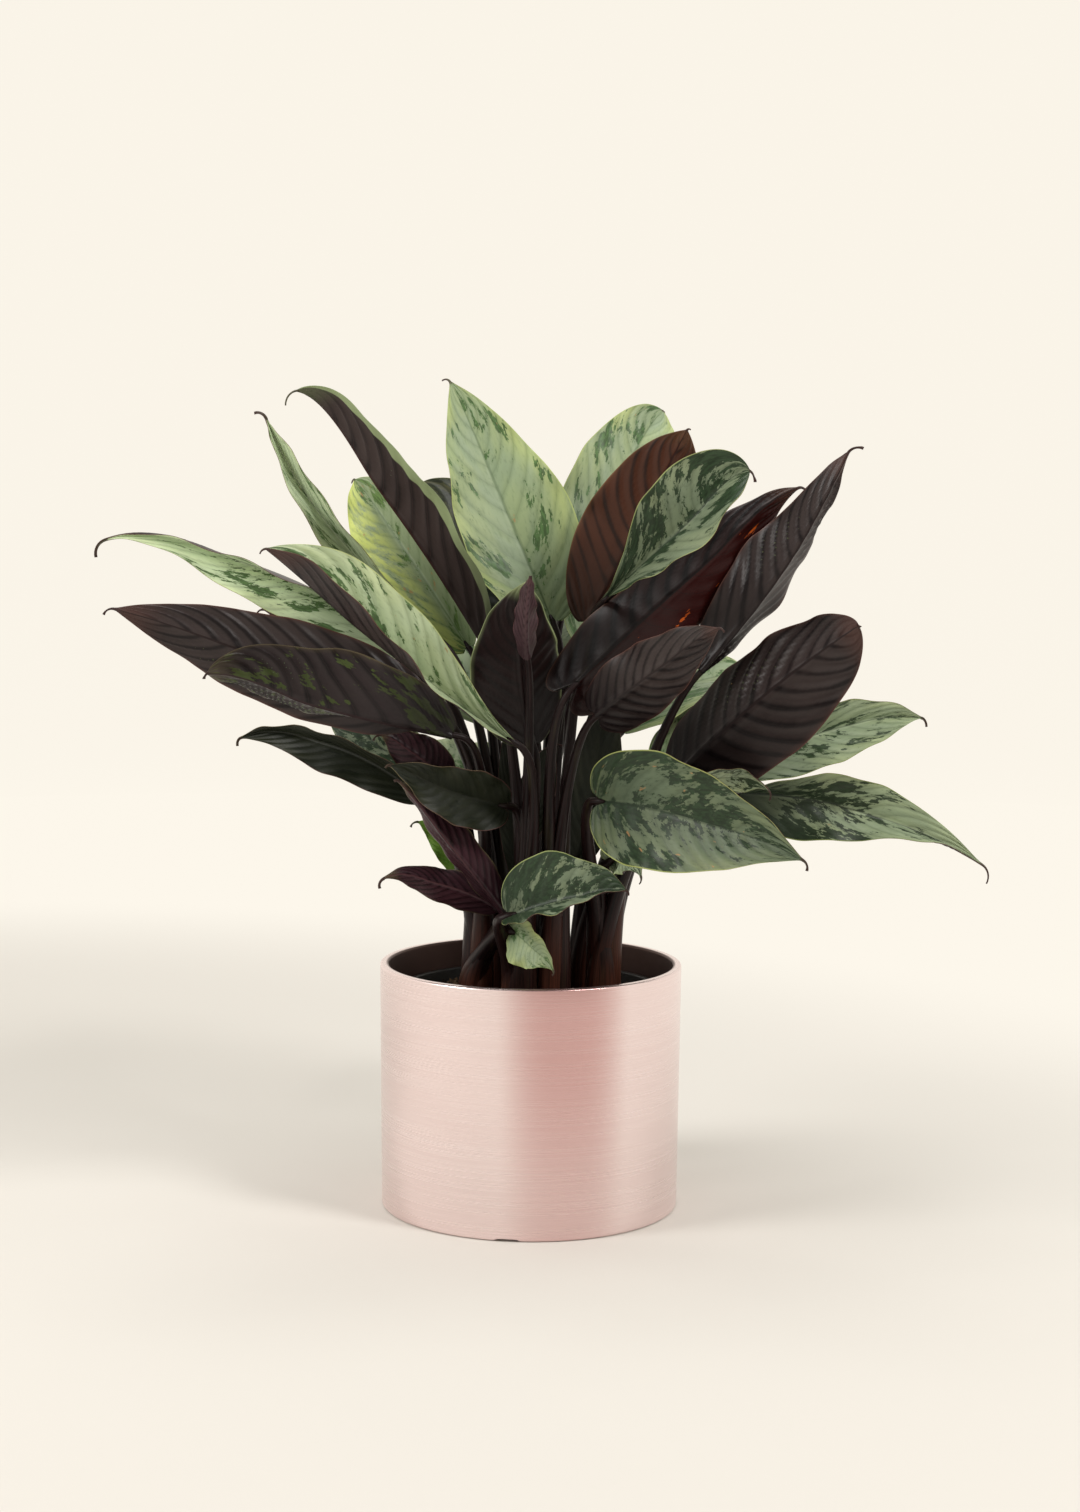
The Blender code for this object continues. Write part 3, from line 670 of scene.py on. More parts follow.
def upper_material(name, palette):
    """Silvery upper face: dark green flecks with ragged ends lie along the side veins, in patches,
    the ground is yellower towards the margin, and the margin is a thin pale line. Painted shade
    darkens the creases along the side veins and the face towards its heel."""
    made, shader, start = new_material("upper_" + name, 0.43, specular=0.25)
    place = blade_place(start)
    along, share, right = place[:3]
    line = abs((place.vein * pi).math("SINE"))
    patches = blade_noise(place, 0.23, 0.9, 1.0, 1.5)
    ragged = blade_noise(place, 1.05, 2.7, 1.15, 5.0, 0.7)
    fine = blade_noise(place, 3.0, 15, 1.0, 3.0, 0.6)
    cloud = blade_noise(place, 0.5, 1.6, 1.0, 2.0, apart=9)
    limit = 0.60 - 0.09 * palette.flecks
    mixed = ragged * 0.6 + patches * 0.4
    fleck = mixed.step(limit - 0.006, limit + 0.006)
    haze = mixed.step(limit - 0.06, limit + 0.02)

    yellow = share.step(0.45, 1.0) * palette.edge * (cloud.step(0.3, 0.7) * 0.8 + 0.3)
    elsewhere = 0.3
    if palette.edge > HALF_YELLOW:
        yellow = (1 - right) * (yellow + share.step(0.0, 0.4) * (ragged.step(0.62, 0.45) * 0.8))
        elsewhere = 0.0
    light = (cloud.step(0.38, 0.66) * elsewhere + yellow).math("MINIMUM", 1.0)
    colour = light.blend(palette.base, palette.light)
    # Painted shade: darker lines in the creases along the side veins.
    groove = (1 - line.step(0.0, 0.16)) * 0.10 + (1 - line.step(0.0, 0.8)) * 0.20
    colour = (groove + fine.step(0.5, 0.75) * 0.22).blend(colour, palette.fleck)
    colour = (haze * 0.2).blend(colour, palette.fleck)
    tint = fine.step(0.4, 0.62).blend(palette.fleck, [part * 2.1 for part in palette.fleck])
    colour = (fleck * 0.93).blend(colour, tint)
    if palette.spots:
        spots = blade_noise(place, 1.1, 4.2, 1.2, 3.0, 0.65, apart=3.1)
        bound = 0.73 - 0.10 * palette.spots
        colour = (spots.step(bound, bound + 0.05) * 0.75).blend(colour, RUST)
    # Painted shade: the face darkens towards its heel. The midrib is a darker line.
    heel = (1 - along.step(0.0, 0.45 + 0.15 * palette.heel)) * palette.heel
    colour = (heel + (1 - share.step(0.01, 0.045)) * 0.4).blend(colour, palette.fleck)
    colour = share.step(0.972, 0.995).blend(colour, palette.margin)
    colour = (along.step(0.985, 1.0) * 0.8).blend(colour, UPPER_TIP)
    feed(shader, "Base Color", colour)
    feed(shader, "Roughness", fine * 0.16 + fleck * -0.05 + 0.34)
    grain = blade_noise(place, 7, 46, 1.6, 3.0, 0.65)
    bump(shader, line * 0.25 + grain * 0.35, 0.45, 0.0007)
    return made


def under_material(name, palette):
    """Dark under face: each pleat between side veins runs from a valley darkened as painted shade to a
    browner crest, reddish towards the tip, and the face is darkened nearly to black at the heel as
    painted shade, with a fine margin."""
    made, shader, start = new_material("under_" + name, 0.36, specular=0.22)
    place = blade_place(start)
    along, share, right = place[:3]
    wave = abs((place.vein * pi).math("SINE"))
    fine = blade_noise(place, 3.5, 18, 1.0, 3.5, 0.6)
    cloud = blade_noise(place, 0.4, 1.4, 1.0, 2.0, apart=5)
    crest = wave.step(0.0, 0.9) * 0.6 + cloud.step(0.35, 0.68) * 0.35 + fine * 0.25
    # Painted shade: the pleats' valleys are much darker than their crests.
    colour = crest.step(0.15, 1.0).blend(palette.valley, palette.crest)
    # On the red leaf one half is red, partly its own colour and partly painted light shining through.
    if palette.half:
        colour = ((1 - right) * (cloud * 0.5 + 0.6)).blend(colour, palette.half)
    # Patches: the leaf's own patches, and on the red leaf painted glints of light through thin spots.
    if palette.patches:
        rough = blade_noise(place, 0.6, 2.6, 1.1, 4.5, 0.66, apart=2)
        bound = 0.72 - 0.13 * palette.patches
        patch = rough.step(bound, bound + 0.03) * 0.85
        if palette.half:
            patch = patch * (1 - right)
        colour = patch.blend(colour, palette.patch)
    vein_line = 1 - wave.step(0.0, 0.09)
    colour = (vein_line * 0.6).blend(colour, palette.rib)
    tip = along.step(0.84, 0.97) * palette.tip + share.step(0.88, 1.0) * 0.3
    colour = tip.blend(colour, palette.margin)
    colour = (1 - share.step(0.012, 0.04)).blend(colour, palette.rib)
    width = right * -1 * (palette.width - 0.03) + (cloud * 0.5 + 0.75) * palette.width
    colour = (share + width).step(1.0, 1.02).blend(colour, palette.margin)
    # Painted shade: the face darkens nearly to black towards its heel.
    colour = ((1 - along.step(0.0, 0.5)) * 0.75).blend(colour, palette.valley)
    colour = (along.step(0.985, 1.0) * 0.8).blend(colour, UNDER_TIP)
    feed(shader, "Base Color", colour)
    feed(shader, "Roughness", fine * 0.14 + 0.29)
    bump(shader, wave * 0.3 + fine * 0.22, 0.5, 0.0008)
    return made


def stalk_material():
    """Plum brown stalk with long fine streaks and greener patches, all darkened nearly to black as
    painted shade inside the clump. Its foot is warmer brown, more so on some stalks than on others."""
    made, shader, start = new_material("stalk_plum", 0.4, specular=0.18)
    along, around, seed = strand_place(start)
    streak = combine(along * 2.2, around * 16, seed * 31).noise(1.5, 4.0, 0.6)
    patch = combine(along * 5, around * 2, seed * 17 + 4).noise(1.2, 3.0, 0.5)
    colour = streak.step(0.35, 0.68).blend(STALK_DARK_SHADED, STALK_BROWN_SHADED)
    colour = patch.step(0.55, 0.75).blend(colour, STALK_GREEN)
    warm = (1 - along.step(0.05, 0.34)) * (seed.step(0.45, 0.7) * 0.8 + 0.2)
    colour = (warm * (streak.step(0.3, 0.7) * 0.6 + 0.3)).blend(colour, STALK_WARM)
    feed(shader, "Base Color", colour)
    bump(shader, streak, 0.3, 0.0005)
    return made


def soil_material(name, light):
    """Crumbly potting soil: dark brown, with lighter grains by the noise."""
    made, shader, start = new_material(name, 0.95, specular=0.2)
    place = start.node("ShaderNodeTexCoord", output="Object")
    coarse = place.noise(160.0, 4.0, 0.65)
    fine = place.noise(900.0, 3.0, 0.6)
    colour = (coarse * 0.6 + fine * 0.4).step(0.4, 0.66).blend(SOIL_DARK, light)
    feed(shader, "Base Color", colour)
    bump(shader, coarse + fine * 0.4, 0.9, 0.0015)
    return made


def planter_material(rose):
    """Rose metal brushed round the body: fine level scratches of uneven strength, a darker band down
    its front that is a painted reflection, and a dark brown inside that is painted shade."""
    made, shader, start = new_material("planter_brushed_rose", 0.3, 0.9)
    place = start.node("ShaderNodeTexCoord", output="Object")
    x, y, z = place.axes()
    fine = combine(x * 7, y * 7, z * 2100).noise(1.0, 2.5, 0.65)
    broad = combine(x * 3, y * 3, z * 640).noise(1.0, 3.0, 0.7)
    cloud = combine(x * 12, y * 12, z * 40).noise(1.0, 2.0, 0.5)
    brush = fine * 0.5 + broad * 0.5
    deep, pale = [part**2.2 * 0.85 for part in rose], [part**0.72 for part in rose]
    # Painted reflection: a darker band down the front, weaker towards the foot.
    angle = radians(REFLECTION_BAND_ANGLE)
    facing = (x * sin(angle) - y * cos(angle)) * (1 / (MM * PLANTER_RIM_RADIUS))
    band = facing.step(0.89, 1.0) * (z.step(0.0, 0.13) * 0.5 + 0.6)
    colour = (brush.step(0.25, 0.75) * 0.6 + cloud * 0.4).blend([part * 0.93 for part in rose], pale)
    colour = (band * (1.15 - brush * 0.5)).blend(colour, deep)
    # Painted shade: the inside of the wall is dark brown and rougher.
    inner = (PLANTER_FOOT_RADIUS - PLANTER_WALL / 2) * MM
    inside = 1 - (x * x + y * y).step((inner - MM) ** 2, (inner + MM) ** 2)
    colour = (inside * 0.95).blend(colour, PLANTER_INSIDE_SHADE)
    feed(shader, "Base Color", colour)
    feed(shader, "Roughness", brush * 0.2 + inside * 0.2 + 0.16)
    bump(shader, brush, 0.07, 0.0004)
    return made


def grower_material():
    """Black moulded plastic with a fine grain."""
    made, shader, start = new_material("grower_black", 0.42)
    grain = start.node("ShaderNodeTexCoord", output="Object").noise(1400.0, 3.0, 0.6)
    feed(shader, "Base Color", grain.step(0.3, 0.7).blend(GROWER_DARK, GROWER_LIGHT))
    bump(shader, grain, 0.25, 0.0003)
    return made


def stage_material():
    """Cream floor and backdrop. Near the plant it is matt and takes the lights' shadows; further
    out it gives its own even light, as a lit studio backdrop does. In front it is dimmer, with a
    gap between two brighter sides that shows as the darker band on the planter."""
    made, shader, start = new_material("stage_cream", 0.9, specular=0.1)
    place = start.node("ShaderNodeTexCoord", output="Object")
    x, y, z = place.axes()
    far = (x * x + y * y + x * 1.3 + y * 0.3).step(0.04, 1.8)
    cream = place.noise(0.6, 1.0).step(0.3, 0.7).blend(CREAM, CREAM_LIGHT)
    behind = y.step(-2.2, -0.9)
    sides = abs(x - 1.3).step(0.4, 2.8)
    glow = far * (behind + (1 - behind) * (sides * 0.65 + 0.2))
    feed(shader, "Base Color", glow.blend(cream, GLOW_BASE))
    feed(shader, "Emission Color", glow.blend(BLACK, GLOW))
    shader.inputs["Emission Strength"].default_value = 1.0
    made.cycles.emission_sampling = "NONE"
    return made


def turned(profile, sides):
    """A closed surface of revolution: each (radius, height) of the profile becomes a ring of points.
    Its faces look outwards where the profile runs from the foot out, up and back in."""
    rings = np.array(profile, float)
    angles = np.arange(sides) * 2 * pi / sides
    heights = np.broadcast_to(rings[:, 1:], (len(rings), sides))
    points = np.stack([rings[:, :1] * np.cos(angles), rings[:, :1] * np.sin(angles), heights], axis=-1)
    return points.reshape(-1, 3), tube_faces(len(rings), sides)


def stage_bowl(profile, sides):
    """The floor and backdrop: the profile turned, seen from inside, with its floor just under the
    planter. It is open at the top."""
    points, faces = turned(profile[::-1], sides)
    points[:, 2] -= FLOOR_DROP
    return points, faces[: (len(profile) - 1) * sides] + faces[-1:]


def arc(centre_r, centre_z, radius, start, end, steps=6):
    """Points of a circle's arc in a profile, from one angle to another, in degrees."""
    angles = np.radians(np.linspace(start, end, steps + 1))
    return list(zip(centre_r + radius * np.cos(angles), centre_z + radius * np.sin(angles)))


def wall_radius(z, wall_in=0.0):
    """The planter's radius at a height, on a straight line from foot to rim, less a distance into
    the wall."""
    share = z / PLANTER_HEIGHT
    return PLANTER_FOOT_RADIUS + (PLANTER_RIM_RADIUS - PLANTER_FOOT_RADIUS) * share - wall_in


def grower_outside(z):
    """The grower pot's outer radius at a height, under its lip."""
    top = GROWER_RIM_RADIUS - GROWER_LIP_WIDTH
    share = (z - GROWER_FOOT_Z) / (GROWER_RIM_Z - GROWER_FOOT_Z)
    return GROWER_FOOT_RADIUS + (top - GROWER_FOOT_RADIUS) * share


def midrib(leaf, along):
    """Points and directions on the curve through heel, crest and tip, at shares along it. The hook
    is evened over a short stretch where it starts, so that the fine blade has no crease there."""
    heel, crest, tip = (np.array(p, float) for p in (leaf.heel, leaf.crest, leaf.tip))
    pull = 2 * crest - (heel + tip) / 2
    t = along[:, None]
    points = heel * (1 - t) ** 2 + 2 * pull * t * (1 - t) + tip * t**2
    heading = 2 * (pull - heel) * (1 - t) + 2 * (tip - pull) * t
    evened = t + np.linspace(-HOOK_BLEND, HOOK_BLEND, HOOK_SAMPLES) * (1 - t)
    last = np.clip((evened - HOOK_START) / (1 - HOOK_START), 0, 1)
    rise = (last - last**3).mean(axis=1, keepdims=True)
    slope = np.where(last > 0, 1 - 3 * last**2, 0).mean(axis=1, keepdims=True) / (1 - HOOK_START)
    return points + SKY * leaf.hook * rise, unit(heading + SKY * leaf.hook * slope)


def outline(leaf, along):
    """Half the blade's width at shares along it: a product of two powers, which is 0 at both ends
    and widest at its peak, joined to the thin heel and tip by a hypotenuse."""
    half = along**leaf.base * (1 - along) ** leaf.taper
    peak = leaf.base / (leaf.base + leaf.taper)
    half *= leaf.width / (peak**leaf.base * (1 - peak) ** leaf.taper)
    return np.hypot(half, HEEL_HALF_WIDTH + (TIP_HALF_WIDTH - HEEL_HALF_WIDTH) * along)


def blade_points(leaf, along, across):
    """The blade's upper face as a grid in millimetres, by the same sums as the CAD blade: square to
    the midrib each section is an arc that rises at the fold angle and bends on by the curl, turned
    by roll and twist, and near the heel the margins trail back by the lobe."""
    spine, forward = midrib(leaf, along)
    normal = unit(leaf.facing - forward * (forward @ leaf.facing)[:, None])
    side = np.cross(forward, normal)
    turn = np.radians(leaf.roll + leaf.twist * (along - 0.5))[:, None]
    level, upright = side, normal
    side = level * np.cos(turn) - upright * np.sin(turn)
    normal = upright * np.cos(turn) + level * np.sin(turn)

    half = outline(leaf, along)[:, None]
    along = along[:, None]
    share = np.abs(across)[None, :]
    fold, curl = radians(leaf.fold), radians(leaf.curl) + 1e-6
    out = half / curl * (np.sin(fold + curl * share) - sin(fold)) * np.sign(across)
    rise = half / curl * (cos(fold) - np.cos(fold + curl * share))
    phase = 2 * pi * leaf.waves * along + np.where(across < 0, 0.0, WAVE_SHIFT)[None, :]
    rise = rise + leaf.wave * np.sin(phase) * share**2 * np.sin(pi * along) ** 0.5
    back = leaf.lobe * share * LOBE_SCALE * along**LOBE_START * (1 - along) ** 3
    parts = ((side, out), (normal, rise), (-forward, back))
    return spine[:, None, :] + sum(axis[:, None, :] * size[..., None] for axis, size in parts)


def tail_rows(upper, length, rows):
    """Rows beyond the tip: the last row carried on along the midrib, bending down through most of a
    quarter turn, and shrinking to a point."""
    centre = upper[-1].mean(axis=0)
    ahead = unit(centre - upper[-3].mean(axis=0))
    down = unit(-SKY - ahead * (-SKY @ ahead) + 1e-6)
    turn = np.linspace(0, 1, rows + 1)[1:, None] * TAIL_TURN
    path = centre + length / TAIL_TURN * (ahead * np.sin(turn) + down * (1 - np.cos(turn)))
    shrink = (1 - TAIL_SHRINK * turn / TAIL_TURN)[:, :, None]
    return path[:, None, :] + (upper[-1] - centre) * shrink


def blade_mesh(leaf, look, seed, steps, strips):
    """A thin closed blade: the CAD blade's upper face on a fine grid, lifted by a pleat between each
    two side veins and by a ripple at the margin, and sunk along the midrib. The under face lies the
    sheet's thickness below it, with the midrib's ridge, and the two are joined round the margin."""
    t = np.linspace(0, 1, steps + 1)
    along = t - END_CROWDING * np.sin(2 * pi * t)
    across = np.sin(np.linspace(-1, 1, strips + 1) * pi / 2)
    upper = blade_points(leaf, along, across)
    upper = np.concatenate([upper, tail_rows(upper, look.tail, TAIL_ROWS)])
    along = np.concatenate([along, np.ones(TAIL_ROWS)])
    normal = unit(np.cross(np.gradient(upper, axis=1), np.gradient(upper, axis=0)))

    share = np.abs(across)[None, :]
    a = along[:, None]
    right = (across > 0)[None, :]
    drift = VEIN_DRIFT * np.sin(a * VEIN_DRIFT_RATE + seed * VEIN_DRIFT_SEED)
    vein = vein_count(a, share, right, drift)
    uneven = 0.8 + 0.3 * np.sin(a * 9 + seed * 40 + right * 2)
    bulge = (0.5 - 0.5 * np.cos(2 * pi * vein)) ** 0.75 - 0.55
    fade = smooth(share, 0.02, 0.3) * (1 - 0.8 * smooth(share, 0.7, 1.0)) * smooth(a, 0.0, 0.08)
    slim = min(1.0, leaf.width / FULL_PLEAT_WIDTH)
    ripple = np.sin(2 * pi * (a * RIPPLE_WAVES + seed * 7 + right * 0.4)) * np.sin(pi * a) ** 0.5
    ripple = RIPPLE_HEIGHT * slim * ripple * share**3
    ends = smooth(a, 0.0, 0.1) * (1 - smooth(a, 0.9, 1.0))
    lift = look.pleat * slim * uneven * bulge * fade * (1 - smooth(a, 0.86, 1.0)) + ripple * ends
    half = outline(leaf, along)[:, None]
    off = share * half
    dent = GUTTER_DEPTH * np.exp(-((off / RIDGE_HALF_WIDTH) ** 2)) * (1 - RIDGE_FADE * a)
    upper = upper + normal * (lift - dent)[..., None]
    ridge = RIDGE_HEIGHT * (1 - RIDGE_FADE * a) * np.exp(-((off / RIDGE_HALF_WIDTH) ** 2))
    under = upper - normal * (SHEET_THICKNESS * (1 - 0.5 * share**6) + ridge)[..., None]

    rows, columns = upper.shape[:2]
    count = rows * columns
    points = np.concatenate([upper.reshape(-1, 3), under.reshape(-1, 3)])
    index = np.arange(count).reshape(rows, columns)
    border = np.concatenate([index[:-1, 0], index[-1, :-1], index[:0:-1, -1], index[0, :0:-1]])
    after = np.roll(border, -1)
    rim = np.stack([border, after, after + count, border + count], axis=-1)
    faces = np.concatenate([grid_faces(rows, columns), grid_faces(rows, columns, count, flip=True), rim])
    quads = (rows - 1) * (columns - 1)
    slots = np.concatenate([np.zeros(quads), np.ones(quads), np.ones(len(rim))])
    place = np.stack(np.broadcast_arrays(a, across[None, :] / 2 + 0.5), axis=-1).reshape(-1, 2)
    return points, faces.tolist(), np.concatenate([place, place]), slots


def stalk_curve(shoot, leaf, place, count, steps):
    """A leaf stalk's centre line: up out of the soil, one cubic bend that starts upright and ends
    along the midrib, then into the blade."""
    angle = 2 * pi * place / count
    x, y = shoot.x + SHEATH_SPREAD * cos(angle), shoot.y + SHEATH_SPREAD * sin(angle)
    foot, start = np.array([x, y, STALK_FOOT_Z]), np.array([x, y, SHOOT_EXIT_Z])
    spine, forward = midrib(leaf, np.array([0.0, 0.02, 0.04]))
    end = spine[0] - forward[0] * HEEL_GAP
    neck = end - forward[0] * NECK_LENGTH
    reach = np.linalg.norm(neck - start)
    near = start + SKY * reach * STALK_UPRIGHT
    far = neck - forward[0] * reach * STALK_LEAD
    t = np.linspace(0, 1, steps)[:, None]
    bend = start * (1 - t) ** 3 + 3 * near * t * (1 - t) ** 2 + 3 * far * t**2 * (1 - t) + neck * t**3
    lead = np.linspace(foot, start, 4)[:-1]
    return np.vstack([lead, bend, end, spine[0] + forward[0] * STALK_INTO_BLADE])


def tube(points, radii, sides, groove):
    """A tube along points. Its sides turn with the curve, and one side is pressed in by the groove
    share, which makes the channel of a leaf stalk."""
    heading = unit(np.gradient(points, axis=0))
    side = unit(np.cross(heading, np.array(STALK_GUIDE)))
    normal = np.cross(heading, side)
    angle = np.arange(sides) * 2 * pi / sides
    dent = 1 - groove[:, None] * np.exp(-(((angle - pi) / GROOVE_WIDTH) ** 2))
    size = radii[:, None] * dent
    ring = side[:, None, :] * np.cos(angle)[:, None] + normal[:, None, :] * np.sin(angle)[:, None]
    return (points[:, None, :] + ring * size[..., None]).reshape(-1, 3)


def shoot_mesh(shoot, leaves, sides, steps):
    """All the stalks of a shoot in one mesh. Each is a tube whose radius falls evenly from foot to
    blade, and swells round the height where the sheaths leave the soil."""
    points, faces, places, seeds = [], [], [], []
    for place, leaf in enumerate(leaves):
        line = stalk_curve(shoot, leaf, place, len(leaves), steps)
        share = np.linspace(0, 1, len(line))
        radii = STALK_RADIUS + (STALK_TIP_RADIUS - STALK_RADIUS) * share
        radii *= 1 + SHEATH_SWELL * np.exp(-((line[:, 2] - SHOOT_EXIT_Z) / SHEATH_REACH) ** 2)
        radii[-1] *= STALK_END_SHARE
        points.append(tube(line, radii, sides, STALK_GROOVE * smooth(share, 0.1, 0.4)))
        faces += tube_faces(len(line), sides, place * len(line) * sides)
        around = np.broadcast_to(np.abs(np.arange(sides) / sides * 2 - 1), (len(line), sides))
        places.append(np.stack(np.broadcast_arrays(share[:, None], around), axis=-1).reshape(-1, 2))
        seeds.append(np.full(len(line) * sides, hashed(place * 1.7, shoot.x, shoot.y)))
    return np.concatenate(points), faces, np.concatenate(places), np.concatenate(seeds)


def soil_height(x, y):
    """The heap's height: a quarter of a cosine's wave from the middle to the edge, with small uneven
    bumps from sums of sines at several angles, and sunk a little so that they stay low."""
    top = grower_outside(SOIL_EDGE_Z) - GROWER_WALL - 2 * CLEARANCE
    radius = np.minimum(np.hypot(x, y) / top, 1)
    bumps = sum(
        np.sin(x * cos(turn) * scale + y * sin(turn) * scale + turn * 3) * size
        for turn, scale, size in SOIL_WAVES
    )
    return SOIL_EDGE_Z + SOIL_HEAP * np.cos(radius * pi / 2) + bumps * (1 - radius**6) - SOIL_SINK


def crumbs_mesh(count, seed):
    """Many small lumps on the soil: squashed octahedra of uneven size, turned at random."""
    rng = np.random.default_rng(seed)
    shape = np.array([(1, 0, 0), (0, 1, 0), (-1, 0, 0), (0, -1, 0), (0, 0, 1), (0, 0, -1)], float)
    above = [(i, (i + 1) % 4, 4) for i in range(4)]
    sides = np.array(above + [(b, a, 5) for a, b, _ in above])
    reach = grower_outside(SOIL_EDGE_Z) - GROWER_WALL - CRUMB_MARGIN
    radius = reach * np.sqrt(rng.random(count))
    angle = rng.random(count) * 2 * pi
    size = CRUMB_LEAST + CRUMB_SPREAD * rng.random(count) ** 3
    stretch = 0.6 + 0.8 * rng.random((count, 6, 1))
    axis = unit(rng.normal(size=(count, 3)))
    across = unit(np.cross(axis, unit(rng.normal(size=(count, 3)))))
    third = np.cross(axis, across)
    basis = np.stack([axis, across, third], axis=1)
    x, y = radius * np.cos(angle), radius * np.sin(angle)
    centre = np.stack([x, y, soil_height(x, y) + size * 0.25], axis=-1)
    points = (shape[None] * stretch) @ basis * size[:, None, None] + centre[:, None, :]
    faces = sides[None] + (np.arange(count) * 6)[:, None, None]
    return points.reshape(-1, 3), faces.reshape(-1, 3).tolist()


class PlantSettings(bpy.types.PropertyGroup):
    """Sizes, counts and colours that a user would change"""

    blade_steps: bpy.props.IntProperty(
        name="Blade steps", description="Rows of faces along each leaf blade", default=100, min=8
    )
    blade_strips: bpy.props.IntProperty(
        name="Blade strips", description="Faces across each leaf blade", default=32, min=4
    )
    stalk_sides: bpy.props.IntProperty(
        name="Stalk sides", description="Points round each leaf stalk", default=14, min=6
    )
    stalk_steps: bpy.props.IntProperty(
        name="Stalk steps", description="Rings along each leaf stalk", default=44, min=8
    )
    turned_sides: bpy.props.IntProperty(
        name="Turned sides", description="Points round the planter and the grower pot",
        default=224, min=24
    )
    crumb_count: bpy.props.IntProperty(
        name="Crumbs", description="Loose lumps on the soil", default=5200, min=0
    )
    planter_colour: bpy.props.FloatVectorProperty(
        name="Planter colour", description="Tint of the brushed metal",
        default=(0.87, 0.70, 0.69), subtype="COLOR", min=0.0, max=1.0
    )
    soil_colour: bpy.props.FloatVectorProperty(
        name="Soil colour", description="The lighter grains of the soil",
        default=(0.075, 0.048, 0.028), subtype="COLOR", min=0.0, max=1.0
    )
    seed: bpy.props.IntProperty(
        name="Seed", description="Start of the crumbs' random numbers", default=7
    )
    key_power: bpy.props.FloatProperty(
        name="Key light", description="Strength of the main light", default=25.5, min=0.0, unit="POWER"
    )


def settings():
    """The sizes and colours that the panel shows."""
    return bpy.context.scene.plant_settings


def finish_piece(obj, node, slot, *materials):
    """Gives a new piece its materials and its body, and hides the CAD node that it stands for."""
    for made in materials:
        obj.data.materials.append(made)
    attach(obj, "root")
    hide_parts(node)


class PLANT_OT_planter(bpy.types.Operator):
    """Builds the brushed planter with its rounded rim and the notches in its foot"""

    bl_idname = "plant.planter"
    bl_label = "Planter"

    def execute(self, context):
        lip_z = PLANTER_HEIGHT - EDGE_ROUND
        corner_z = PLANTER_FLOOR + PLANTER_CORNER
        profile = [(AXIS_RADIUS, PLANTER_FLOOR)]
        profile += [(wall_radius(PLANTER_FLOOR, PLANTER_WALL + PLANTER_CORNER), PLANTER_FLOOR)]
        profile += [(wall_radius(corner_z, PLANTER_WALL), corner_z)]
        profile += arc(wall_radius(lip_z, PLANTER_WALL - EDGE_ROUND), lip_z, EDGE_ROUND, 180, 90)
        profile += arc(wall_radius(lip_z, EDGE_ROUND), lip_z, EDGE_ROUND, 90, 0)
        profile += [(wall_radius(z), z) for z in np.linspace(lip_z, EDGE_ROUND * 1.5, 12)[1:]]
        profile += arc(wall_radius(EDGE_ROUND, EDGE_ROUND), EDGE_ROUND, EDGE_ROUND, 0, -90)
        notch_end = PLANTER_FOOT_RADIUS - NOTCH_DEPTH
        profile += [(notch_end, 0), (notch_end - 1, 0), (AXIS_RADIUS, 0)]
        points, faces = turned(profile[::-1], settings().turned_sides)
        angle = np.degrees(np.arctan2(points[:, 1], points[:, 0])) - NOTCH_FIRST_ANGLE
        off = np.abs((angle + 180 / NOTCH_COUNT) % (360 / NOTCH_COUNT) - 180 / NOTCH_COUNT)
        inside = off < np.degrees(NOTCH_WIDTH / 2 / PLANTER_FOOT_RADIUS)
        foot = np.hypot(points[:, 0], points[:, 1]) > notch_end - 0.5
        low = points[:, 2] < NOTCH_HEIGHT
        points[inside & foot & low, 2] = NOTCH_HEIGHT
        obj = mesh_object("planter_brushed", points, faces)
        finish_piece(obj, "planter", "planter", planter_material(settings().planter_colour))
        return {"FINISHED"}


class PLANT_OT_grower(bpy.types.Operator):
    """Builds the thin black grower pot with its rolled lip"""

    bl_idname = "plant.grower"
    bl_label = "Grower pot"

    def execute(self, context):
        lip_z = GROWER_RIM_Z - GROWER_LIP_HEIGHT
        floor_z = GROWER_FOOT_Z + GROWER_WALL
        inner_top = grower_outside(GROWER_RIM_Z) - GROWER_WALL
        turn = GROWER_LIP_ROUND
        profile = [(AXIS_RADIUS, floor_z), (grower_outside(floor_z) - GROWER_WALL, floor_z)]
        profile += arc(inner_top + turn, GROWER_RIM_Z - turn, turn, 180, 90)
        profile += arc(GROWER_RIM_RADIUS - turn, GROWER_RIM_Z - turn, turn, 90, 0)
        profile += [(GROWER_RIM_RADIUS, lip_z), (grower_outside(lip_z), lip_z)]
        profile += [(GROWER_FOOT_RADIUS, GROWER_FOOT_Z), (AXIS_RADIUS, GROWER_FOOT_Z)]
        points, faces = turned(profile[::-1], settings().turned_sides)
        obj = mesh_object("grower_lip", points, faces)
        finish_piece(obj, "grower_pot", "grower_pot", grower_material())
        return {"FINISHED"}


class PLANT_OT_soil(bpy.types.Operator):
    """Builds the heaped soil and the loose crumbs on it"""

    bl_idname = "plant.soil"
    bl_label = "Soil"

    def execute(self, context):
        foot_z = GROWER_FOOT_Z + GROWER_WALL + CLEARANCE
        top, foot = (grower_outside(z) - GROWER_WALL - 2 * CLEARANCE for z in (SOIL_EDGE_Z, foot_z))
        rings = np.linspace(1, 0.002, SOIL_RINGS)
        profile = [(0.1, foot_z), (foot, foot_z)] + [(top * share, SOIL_EDGE_Z) for share in rings]
        points, faces = turned(profile, SOIL_SIDES)
        heap = points[:, 2] > SOIL_EDGE_Z - 1
        points[heap, 2] = soil_height(points[heap, 0], points[heap, 1])
        obj = mesh_object("soil_heap", points, faces)
        finish_piece(obj, "soil", "soil", soil_material("soil_ground", settings().soil_colour))
        crumbs = mesh_object("soil_crumbs", *crumbs_mesh(settings().crumb_count, settings().seed))
        crumbs.data.shade_flat()
        crumbs.data.materials.append(soil_material("soil_crumb", CRUMB_LIGHT))
        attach(crumbs, "root")
        return {"FINISHED"}


